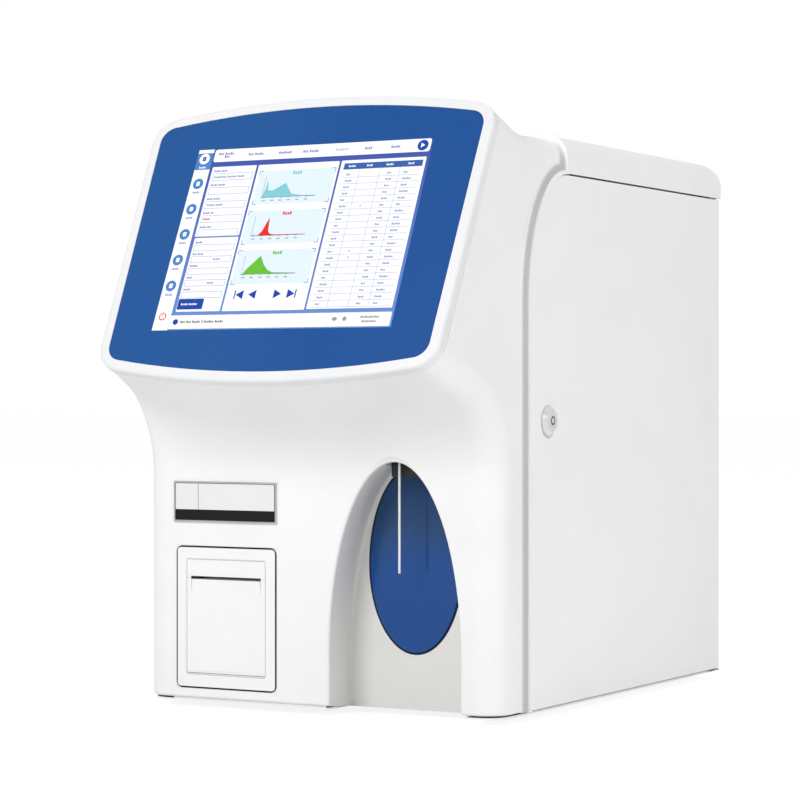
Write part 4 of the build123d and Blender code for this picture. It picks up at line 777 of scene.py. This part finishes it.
    def hill(
        self, points: list[tuple[float, float]], base: float, tint: str, level: int = 3
    ) -> None:
        """Draw a filled curve over a base line.

        Args:
            points: the curve, from left to right.
            base: height of the base line.
            tint: its colour.
            level: the layer that it lies on.
        """
        left, right = points[0][0], points[-1][0]
        centre = ((left + right) / 2, base, level * self.layer)
        where = Matrix.Translation(centre) @ Matrix.Diagonal(
            (right - left, 1.0, 1.0, 1.0)
        )
        verts = bmesh.ops.create_grid(
            self.mesh,
            x_segments=self.CURVE_STEPS,
            y_segments=1,
            size=0.5,
            matrix=where,
        )["verts"]
        for vert in verts:
            vert.co.y = base if vert.co.y < base else curve_height(points, vert.co.x)
        self.paint(verts, tint)

    def words(
        self,
        x: float,
        u: float,
        lengths: tuple[float, ...],
        tint: str,
        height: float = 1.7,
        level: int = 4,
    ) -> None:
        """Draw a line of writing as short bars that stand for letters.

        Args:
            x: where it starts.
            u: its middle height.
            lengths: the length of each word.
            tint: its colour.
            height: the height of the bars.
            level: the layer that it lies on.
        """
        pitch = height * self.PITCH
        low = u - height / 2
        for length in lengths:
            letters = max(1, round(length / pitch))
            for letter in range(letters):
                rise = height * (self.SHORT if letter % 3 else self.TALL)
                left = x + letter * pitch
                self.patch(left, left + pitch * self.BAR, low, u + rise, tint, level)
            x += (letters + self.SPACE) * pitch

    def place(
        self, name: str, matrix: Matrix, skin: bpy.types.Material
    ) -> bpy.types.Object:
        """Turn the drawing into a piece.

        Args:
            name: the piece's name.
            matrix: where its plane is, from millimetres to the row frame.
            skin: its material.

        Returns:
            The new object.
        """
        self.mesh.normal_update()
        for face in self.mesh.faces:
            if face.normal.z < 0:
                face.normal_flip()
        self.mesh.transform(matrix)
        piece = put(name, mesh_data(name, self.mesh))
        piece.data.materials.append(skin)
        body = piece.modifiers.new("Thickness", "SOLIDIFY")
        body.thickness = self.THICK * MM
        body.offset = -1.0
        return piece


def mesh_data(name: str, mesh: bmesh.types.BMesh) -> bpy.types.Mesh:
    """Turn a bmesh into mesh data of this name, and free it."""
    data = bpy.data.meshes.new(name)
    mesh.to_mesh(data)
    mesh.free()
    return data


def put(name: str, data: Any) -> bpy.types.Object:
    """Put an object with this name and data in the scene."""
    thing = bpy.data.objects.new(name, data)
    bpy.context.scene.collection.objects.link(thing)
    return thing


def curve_height(points: list[tuple[float, float]], x: float) -> float:
    """Height of a curve given by points, straight between them.

    Args:
        points: the curve, from left to right.
        x: where to read it.

    Returns:
        The height there.
    """
    for (x0, u0), (x1, u1) in zip(points, points[1:]):
        if x <= x1:
            share = min(1.0, max(0.0, (x - x0) / (x1 - x0)))
            return u0 + (u1 - u0) * share
    return points[-1][1]


def middle(node: str) -> Vector:
    """Middle of a CAD node's box."""
    low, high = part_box(node)
    return (low + high) / 2


def halves(low: Vector, high: Vector) -> tuple[float, float]:
    """Half the width and half the height of a box, in millimetres."""
    return (high.x - low.x) / 2 / MM, (high.z - low.z) / 2 / MM


def plane(origin: Vector, right: Vector = RIGHT, up: Vector = UP) -> Matrix:
    """Frame of a drawing's plane, from millimetres to the row frame.

    Args:
        origin: its middle.
        right: the drawing's x.
        up: the drawing's y.

    Returns:
        The matrix, which scales by a thousandth.
    """
    out = right.cross(up)
    turn = Matrix((right, up, out)).transposed().to_4x4()
    return Matrix.Translation(origin) @ turn @ Matrix.Scale(MM, 4)


@dataclass
class Studio:
    """Camera, floor, soft boxes and world, in metres and watts."""

    eye: Triple = (1.0599, -1.9224, 0.2474)
    towards: Triple = (-0.4909, 0.8712, -0.0018)
    lens: float = 119.35
    sensor: float = 36.0
    sight: float = 200.0
    sky: float = 0.45
    floor_size: float = 60.0
    floor_rough: float = 0.9
    floor_glow: float = 1.22
    glow_share: float = 0.72
    target: Triple = (0.0, 0.0, 0.25)
    lamps: tuple[tuple[str, Triple, float, float], ...] = (
        ("soft_box_front", (-0.7, -2.7, 1.9), 1.4, 44.5),
        ("soft_box_top", (0.2, 0.5, 2.6), 1.6, 13.0),
        ("soft_box_right", (2.8, -0.45, 0.8), 1.4, 21.0),
    )

    def camera(self) -> None:
        """Stand the camera where the photograph was taken from."""
        data = bpy.data.cameras.new("camera")
        data.lens = self.lens
        data.sensor_width = self.sensor
        data.clip_end = self.sight
        camera = put("camera", data)
        camera.location = self.eye
        camera.rotation_euler = Vector(self.towards).to_track_quat("-Z", "Y").to_euler()
        bpy.context.scene.camera = camera

    def seen(self, tree: Tree) -> Any:
        """1 for rays straight from the camera or through glass."""
        path = add(tree, "LightPath").outputs
        return maths(
            tree, "MAXIMUM", path["Is Camera Ray"], path["Is Transmission Ray"]
        )

    def world(self) -> None:
        """White surroundings, plainer as a light than they look."""
        world = bpy.data.worlds.new("world")
        bpy.context.scene.world = world
        world.use_nodes = True
        tree = world.node_tree
        sky = tree.nodes["Background"]
        sky.inputs["Color"].default_value = WHITE
        strength = remap(tree, self.seen(tree), new=(self.sky, 1.0))
        tree.links.new(strength, sky.inputs["Strength"])

    def floor(self) -> None:
        """Lay a plain pale floor that keeps the object's shadow."""
        mesh = bmesh.new()
        bmesh.ops.create_grid(
            mesh, x_segments=1, y_segments=1, size=self.floor_size / 2
        )
        floor = put("floor", mesh_data("floor", mesh))
        material = bpy.data.materials.new("floor_paper_white")
        material.use_nodes = True
        tree = material.node_tree
        shader = tree.nodes["Principled BSDF"]
        shader.inputs["Base Color"].default_value = linear("#F4F4F4")
        shader.inputs["Roughness"].default_value = self.floor_rough
        shader.inputs["Specular IOR Level"].default_value = 0.0
        glow = add(tree, "Emission", {"Color": WHITE, "Strength": self.floor_glow})
        share = remap(tree, self.seen(tree), new=(0.0, self.glow_share))
        parts = {0: share, 1: shader.outputs["BSDF"], 2: glow.outputs["Emission"]}
        mix = add(tree, "MixShader", parts)
        tree.links.new(
            mix.outputs["Shader"], tree.nodes["Material Output"].inputs["Surface"]
        )
        floor.data.materials.append(material)

    def lamp(self, name: str, place: Triple, size: float, watts: float) -> None:
        """Hang a soft box that faces the object.

        Args:
            name: its name.
            place: where it hangs.
            size: the length of its side.
            watts: its power.
        """
        data = bpy.data.lights.new(name, "AREA")
        data.size = size
        data.energy = watts
        lamp = put(name, data)
        lamp.location = place
        aim = Vector(self.target) - Vector(place)
        lamp.rotation_euler = aim.to_track_quat("-Z", "Y").to_euler()

    def build(self) -> None:
        """Set up the whole studio."""
        bpy.context.scene.view_settings.view_transform = "Standard"
        self.camera()
        self.world()
        self.floor()
        for name, place, size, watts in self.lamps:
            self.lamp(name, place, size, watts)
        LOG.info("studio is set up with %d lamps", len(self.lamps))


@dataclass(frozen=True)
class Curve:
    """One graph of the display: its card, base line, title height and points."""

    card: Box
    base: float
    title: float
    tint: str
    points: tuple[tuple[float, float], ...]


CURVES = (
    Curve(
        (-43.0, 25.4, 29.2, 58.5), 35.2, 56.0, "#83CDD6",
        (
            (-35.6, 35.6), (-34.4, 41.0), (-33.0, 50.4), (-31.6, 41.0), (-27.0, 41.0),
            (-22.6, 43.6), (-16.6, 47.2), (-12.6, 41.4), (-9.0, 37.2), (2.0, 35.6),
        ),
    ),
    Curve(
        (-43.6, 24.8, -5.4, 23.3), 1.8, 20.6, "#EE2B2B",
        (
            (-30.4, 2.2), (-27.6, 5.4), (-23.4, 17.4), (-22.0, 5.2), (-19.6, 2.9),
            (-14.0, 2.3), (8.0, 2.2),
        ),
    ),
    Curve(
        (-43.8, 24.7, -39.8, -10.8), -31.3, -13.4, "#6CBF3A",
        (
            (-35.4, -31.0), (-32.6, -26.6), (-26.4, -19.8), (-22.6, -15.8),
            (-18.6, -23.0), (-13.6, -28.2), (-9.0, -30.2), (8.0, -30.9),
        ),
    ),
)


@dataclass
class TouchDisplay:
    """The picture behind the touch glass, in millimetres from the glass's middle."""

    shop: Workshop
    tilt: float = 24.8
    glass: float = 2.4
    side: float = 105.6
    low: float = -78.0
    high: float = 80.4
    white: str = "#FDFDFE"
    indigo: str = "#3F51A8"
    sky: str = "#6E93D0"
    blue: str = "#4E86C8"
    deep: str = "#1F48A8"
    pale: str = "#E2F1FB"
    bar: str = "#7F8BC4"
    line: str = "#A9B5DC"
    grey: str = "#8E98C4"
    red: str = "#E0453A"
    ink: str = "#30343C"
    stone: str = "#9AA0AC"
    faded: str = "#8A8E98"
    box_line: float = 0.45
    mark: float = 3.4
    row_step: float = 5.5

    def rail(self, art: Sketch) -> None:
        """Draw the column of round buttons on the left."""
        right = -91.2
        art.patch(-self.side, right, self.low, self.high, self.white, 2)
        art.patch(-self.side, right, 62.5, 77.2, self.blue, 3)
        for u in (71.5, 49.3, 26.8, 4.6, -17.9, -40.4):
            first = u > 60
            inside, mark = (self.white, self.deep) if first else (self.blue, self.white)
            art.disc(-98.6, u + 0.6, 4.7, inside, 4)
            art.patch(-100.2, -97.0, u - 1.3, u + 2.5, mark, 5, corner=0.8)
            art.patch(-99.4, -97.8, u + 0.4, u + 0.8, inside, 6)
            art.words(-101.6, u - 7.0, (5.8,), self.white if first else self.bar)
        art.disc(-98.8, -66.2, 3.3, self.red, 4)
        art.disc(-98.8, -66.2, 2.4, self.white, 5)
        art.patch(-99.6, -98.0, -65.6, -62.0, self.white, 6)
        art.patch(-99.1, -98.5, -66.4, -62.4, self.red, 7)

    def menu(self, art: Sketch) -> None:
        """Draw the strip of menus along the top, and the round start button."""
        art.patch(-89.8, 104.2, 68.8, 80.0, self.white, 2, corner=2.0)
        for x, u, lengths, tint in (
            (-86.0, 76.0, (5.0, 8.0), self.bar),
            (-80.0, 73.4, (5.0,), self.bar),
            (-58.0, 74.4, (4.6, 9.0), self.bar),
            (-30.0, 74.4, (11.0,), self.bar),
            (-8.0, 74.4, (5.0, 9.0), self.bar),
            (21.0, 74.4, (11.0,), "#C3C6CE"),
            (47.0, 74.4, (7.0,), self.bar),
            (70.0, 74.4, (9.0,), self.bar),
        ):
            art.words(x, u, lengths, tint, height=2.2)
        art.disc(97.4, 74.4, 4.6, self.deep, 4)
        art.disc(97.0, 74.4, 2.4, self.white, 5, sides=3, turn=-90.0)

    def forms(self, art: Sketch) -> None:
        """Draw the two forms with their labels and boxes."""
        art.patch(-88.6, -47.7, 2.8, 64.3, self.white, 2, corner=0.8)
        art.patch(-88.0, -47.6, -62.3, 1.5, self.white, 2, corner=0.8)
        left, right = -86.6, -49.6
        upper = (
            ((7.0, 5.0), (12.0, 9.0, 6.0), self.grey),
            ((6.0, 6.0), (), self.grey),
            ((5.0, 7.0), (8.0, 7.0), self.grey),
            ((7.0, 3.0), (7.0,), self.red),
            ((6.0, 4.0), (), self.grey),
        )
        for row, (label, value, tint) in enumerate(upper):
            u = 60.6 - row * 12.4
            art.words(-86.2, u, label, self.bar)
            art.ring((left, right, u - 8.6, u - 2.2), self.box_line, self.line, 3)
            art.words(-84.8, u - 5.4, value, tint, level=5)
        lower = ((6.0,), (4.0, 5.0), (8.0,), (5.0,), (6.0,))
        for row, label in enumerate(lower):
            u = -2.4 - row * 10.2
            art.words(-86.0, u, label, self.bar)
            art.ring((left, right, u - 7.6, u - 2.0), self.box_line, self.line, 3)
            art.words(-66.0, u - 4.8, (6.0,) if row % 2 else (), self.grey, level=5)
        art.patch(-87.6, -64.5, -60.4, -51.4, self.deep, 6, corner=0.6)
        art.words(-84.6, -55.9, (6.6, 7.6), self.white, level=7)

    def card(self, art: Sketch, box: Box, axis: float) -> None:
        """Draw one graph's card, its corner marks, axis and ticks.

        Args:
            art: the drawing.
            box: the card's left, right, bottom and top.
            axis: height of the graph's base line.
        """
        left, right, low, high = box
        art.patch(left, right, low, high, self.pale, 3)
        for x, side in ((left, 1), (right, -1)):
            for u, rise in ((low, 1), (high, -1)):
                xs = sorted((x, x + side * self.mark))
                us = sorted((u, u + rise * self.mark))
                art.patch(xs[0], xs[1], u - 0.25, u + 0.25, self.blue, 4)
                art.patch(x - 0.25, x + 0.25, us[0], us[1], self.blue, 4)
        art.patch(left + 6.5, right - 13.0, axis - 0.25, axis + 0.25, self.ink, 5)
        art.patch(left + 7.0, left + 7.35, axis, high - 5.0, "#8C98A8", 4)
        for tick in range(6):
            x = left + 9.5 + tick * 7.6
            art.patch(x - 0.2, x + 0.2, axis - 1.2, axis, self.ink, 5)
            art.words(x - 1.4, axis - 2.9, (2.8,), "#707A8C", height=1.0)

    def graphs(self, art: Sketch) -> None:
        """Draw the middle panel with its three graphs and the arrow buttons."""
        art.patch(-45.8, 27.4, -62.5, 64.2, self.white, 2, corner=0.8)
        for curve in CURVES:
            self.card(art, curve.card, curve.base)
        for curve in CURVES:
            art.hill(list(curve.points), curve.base, curve.tint, 6)
        for curve in CURVES:
            art.words(-12.5, curve.title, (8.4,), curve.tint, height=2.8, level=5)
        for x, side, stop in (
            (-32.4, 1, True),
            (-21.0, 1, False),
            (-0.6, -1, False),
            (11.3, -1, True),
        ):
            art.disc(x, -48.7, 4.4, self.deep, 4, sides=3, turn=90.0 * side)
            if stop:
                edge = x - side * 5.2
                art.patch(edge - 0.5, edge + 0.5, -52.4, -45.0, self.deep, 4)

    def table(self, art: Sketch) -> None:
        """Draw the table of results."""
        art.patch(29.2, 103.0, -62.0, 64.4, self.white, 2, corner=0.8)
        left, right = 32.2, 100.7
        art.patch(left, right, 56.4, 61.8, "#3A62AE", 3)
        for x, length in ((36.5, 6.0), (52.5, 5.0), (69.5, 7.0), (88.5, 5.0)):
            art.words(x, 59.2, (length,), self.white)
        for row in range(21):
            u = 52.0 - row * self.row_step
            low = u - self.row_step / 2
            art.patch(left, right, low, low + 0.35, self.line, 3)
            art.words(36.0, u, (3.6 + row * 7 % 4,), self.grey)
            art.words(71.6, u, (3.2 + row * 5 % 3,), self.grey)
            art.words(86.0, u, (4.2 + row * 3 % 5,), self.grey)
            if row in (5, 12, 13):
                art.words(54.4, u, (1.6,), "#F08070")
        for x in (46.9, 64.9, 82.1):
            art.patch(x - 0.17, x + 0.17, -60.8, 57.0, self.line, 3)

    def status(self, art: Sketch) -> None:
        """Draw the strip along the bottom."""
        art.patch(-91.0, 104.0, -77.0, -65.4, self.white, 2, corner=1.0)
        art.disc(-85.6, -71.0, 2.4, self.deep, 4)
        art.words(-81.0, -71.0, (4.0, 5.0, 8.0, 1.2, 9.0, 7.0), "#707070", height=2.0)
        art.disc(56.0, -70.6, 1.6, self.stone, 4, squeeze=1.4)
        art.disc(64.6, -70.6, 1.8, self.stone, 4)
        art.words(78.0, -69.2, (16.0,), self.faded, height=1.8)
        art.words(80.0, -72.8, (12.0,), self.faded, height=1.8)

    def build(self) -> None:
        """Draw the picture and lay it on the glass."""
        art = Sketch()
        edge = self.side
        art.patch(-edge, edge, self.low, self.high, self.sky, top_tint=self.indigo)
        self.rail(art)
        self.menu(art)
        self.forms(art)
        self.graphs(art)
        self.table(art)
        self.status(art)
        lean = math.radians(self.tilt)
        up = Vector((0.0, math.sin(lean), math.cos(lean)))
        front = middle("touch_glass") + RIGHT.cross(up) * (self.glass / 2) * MM
        where = plane(front, up=up)
        piece = art.place("display_picture", where, self.shop.skin(Skin.PICTURE))
        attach(piece, "cabinet")
        LOG.info("display picture: %d faces", len(piece.data.polygons))


@dataclass
class FrontTrim:
    """Print on the notice plate, and painted shade in the gaps, seams and slots round
    the printer, key and lock.

    Sizes are in millimetres: the notice plate's frame and dark band, how far the
    printer stands proud, the height of its gate, how far the key's egg reaches
    past its plate, above and below its middle, and the lock collar's radius.
    """

    shop: Workshop
    band: float = 8.6
    frame: float = 1.5
    field: float = 21.6
    shade: str = "#242426"
    door_seam_shade: str = "#D3D3D3"
    paper: str = "#F4F4F3"
    proud: float = 0.6
    gate: float = 89.6
    slot_end: float = 3.7
    tab_in: float = 4.2
    key_proud: float = 1.0
    key_lip: float = 2.5
    key_above: float = 75.6
    key_below: float = 67.3
    key_play: float = 0.15
    collar: float = 11.7

    def lay(self, art: Sketch, name: str, origin: Vector, body: str) -> None:
        """Lay a drawing upright on the front and hang it on its body.

        Args:
            art: the drawing.
            name: the piece's name.
            origin: the drawing's middle.
            body: the body that it moves with.
        """
        piece = art.place(name, plane(origin), self.shop.skin(Skin.PRINT_AND_SHADE))
        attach(piece, body)
        LOG.info("laid %s on %s", name, body)

    def notice(self) -> None:
        """Lay the bare fields on the notice plate, inside its bright frame."""
        low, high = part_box("notice_plate")
        half, rise = (size - self.frame for size in halves(low, high))
        split, top = self.field - half, self.band - rise
        art = Sketch()
        art.patch(-half, half, -rise, rise, "#EFEFEF", 1, corner=1.6)
        art.patch(-half, half, -rise, top, "#1B1B1D", 2, corner=1.0)
        art.patch(split, split + 0.5, top, rise, "#8E9094", 2)
        art.ring((-half, half, -rise, rise), 0.35, "#5A5C60", 3, corner=1.6)
        origin = Vector(((low.x + high.x) / 2, low.y, (low.z + high.z) / 2))
        self.lay(art, "notice_fields", origin, "cabinet")

    def bezel(self) -> None:
        """Draw painted shade in the gap round the printer, over a white filler, and
        painted shade in its door's seam and paper slot.
        """
        low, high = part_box("printer_frame")
        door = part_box("printer_door")
        half, rise = halves(low, high)
        centre = (low + high) / 2
        gap_shade = Sketch(layer=0.04)
        # White filler over the gap, then a dark band of painted shade standing for the
        # gap's shadow.
        for grow, width, tint, level, corner in (
            (2.2, 2.8, self.paper, 1, 0.0),
            (1.4, 1.8, self.shade, 2, 5.2),
        ):
            reach = (-half - grow, half + grow, -rise - grow, rise + grow)
            gap_shade.ring(reach, width, tint, level, corner)
        origin = Vector((centre.x, low.y + self.proud * MM, centre.z))
        self.lay(gap_shade, "printer_gap_shade", origin, "cabinet")
        bottom = (door[0].z - centre.z) / MM
        top = bottom + self.gate
        side, _ = halves(*door)
        outline = Sketch()
        outline.patch(-side, side, bottom - 1.3, bottom - 0.35, self.paper)
        reach = (-side - 0.8, side + 0.8, bottom - 1.7, top + 0.8)
        # Faint grey ring: painted shade in the door's seam.
        outline.ring(reach, 0.75, self.door_seam_shade, 2, corner=1.9)
        gap = (door[1].z - centre.z) / MM
        inner = side - self.slot_end
        for left, right in ((-side, -inner), (inner, side)):
            outline.patch(left, right, gap + 0.1, gap + 1.6, self.paper)
        # Black strip: painted shade inside the paper slot.
        outline.patch(-inner, inner, gap + 1.5, gap + 1.9, "#111112", 2)
        origin = Vector((centre.x, low.y, centre.z))
        self.lay(outline, "printer_outline", origin, "cabinet")

    def lip(self) -> None:
        """Close the round of the printer door's lower edge with a thin lip."""
        low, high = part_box("printer_door")
        half, _ = halves(low, high)
        art = Sketch(layer=0.01)
        art.patch(-half, half, 0.05, 2.2, self.paper)
        origin = Vector(((low.x + high.x) / 2, low.y, low.z))
        self.lay(art, "printer_door_lip", origin, "printer_door")

    def key_gap_shade(self) -> None:
        """Draw painted shade in the gap round the aspirate key."""
        low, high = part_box("aspirate_key")
        half = halves(low, high)[0] - self.key_lip
        above, below = self.key_above, self.key_below
        play = self.key_play
        art = Sketch()
        art.oval(half + play, above + play, below + play, 1.45, "#131D33")
        y = low.y + self.key_proud * MM
        z = high.z - (above + self.key_lip) * MM
        origin = Vector(((low.x + high.x) / 2, y, z))
        self.lay(art, "key_gap_shade", origin, "cabinet")

    def tab(self) -> None:
        """Draw painted shade in the tab's slits below the paper slot, dark at the top
        and fading downwards, and along the door's top edge.
        """
        low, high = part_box("printer_door")
        half = halves(low, high)[0] - self.tab_in
        art = Sketch()
        for x in (-half, half):
            art.patch(x - 0.2, x + 0.2, -11.0, 0.0, "#F0F0F0", top_tint="#5A5B5E")
        art.patch(-half, half, -0.3, 0.15, "#1A1A1B")
        origin = Vector(((low.x + high.x) / 2, low.y, high.z - 0.2 * MM))
        self.lay(art, "printer_tab_shade", origin, "printer_door")

    def keyhole(self) -> None:
        """Draw the lock's tubular keyhole as a dark ring of painted shade round a light
        core, and the painted shadow round its collar.
        """
        _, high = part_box("lock_plug")
        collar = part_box("door_lock")
        centre = (collar[0] + collar[1]) / 2
        art = Sketch(layer=0.01)
        art.disc(0.0, 0.0, 3.6, "#4A4B4E", 1)
        art.disc(0.0, 0.0, 2.2, "#DCDDDF", 2)
        where = plane(Vector((high.x, centre.y, centre.z)), BACK)
        piece = art.place("lock_keyhole", where, self.shop.skin(Skin.PRINT_AND_SHADE))
        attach(piece, "lock_core")
        LOG.info("laid lock_keyhole on lock_core")
        shade = Sketch()
        # Painted shadow of the collar: a grey disc set a little down and towards the
        # front.
        shade.disc(-0.6, -0.9, self.collar + 1.1, "#CBCCCD", 1, sides=48)
        face = Vector((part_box("side_door")[1].x, centre.y, centre.z))
        piece = shade.place("lock_shade", plane(face, BACK), self.shop.skin(Skin.PRINT_AND_SHADE))
        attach(piece, "side_door")
        LOG.info("laid lock_shade on side_door")

    def build(self) -> None:
        """Make all the front's trim."""
        self.notice()
        self.bezel()
        self.lip()
        self.key_gap_shade()
        self.tab()
        self.keyhole()


def main() -> None:
    """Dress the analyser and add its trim."""
    logging.basicConfig(level=logging.INFO, format="%(name)s: %(message)s")
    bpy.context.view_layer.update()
    shop = Workshop()
    shop.dress(frame["nodes"])
    Studio().build()
    TouchDisplay(shop).build()
    FrontTrim(shop).build()


if __name__ == "__main__":
    main()
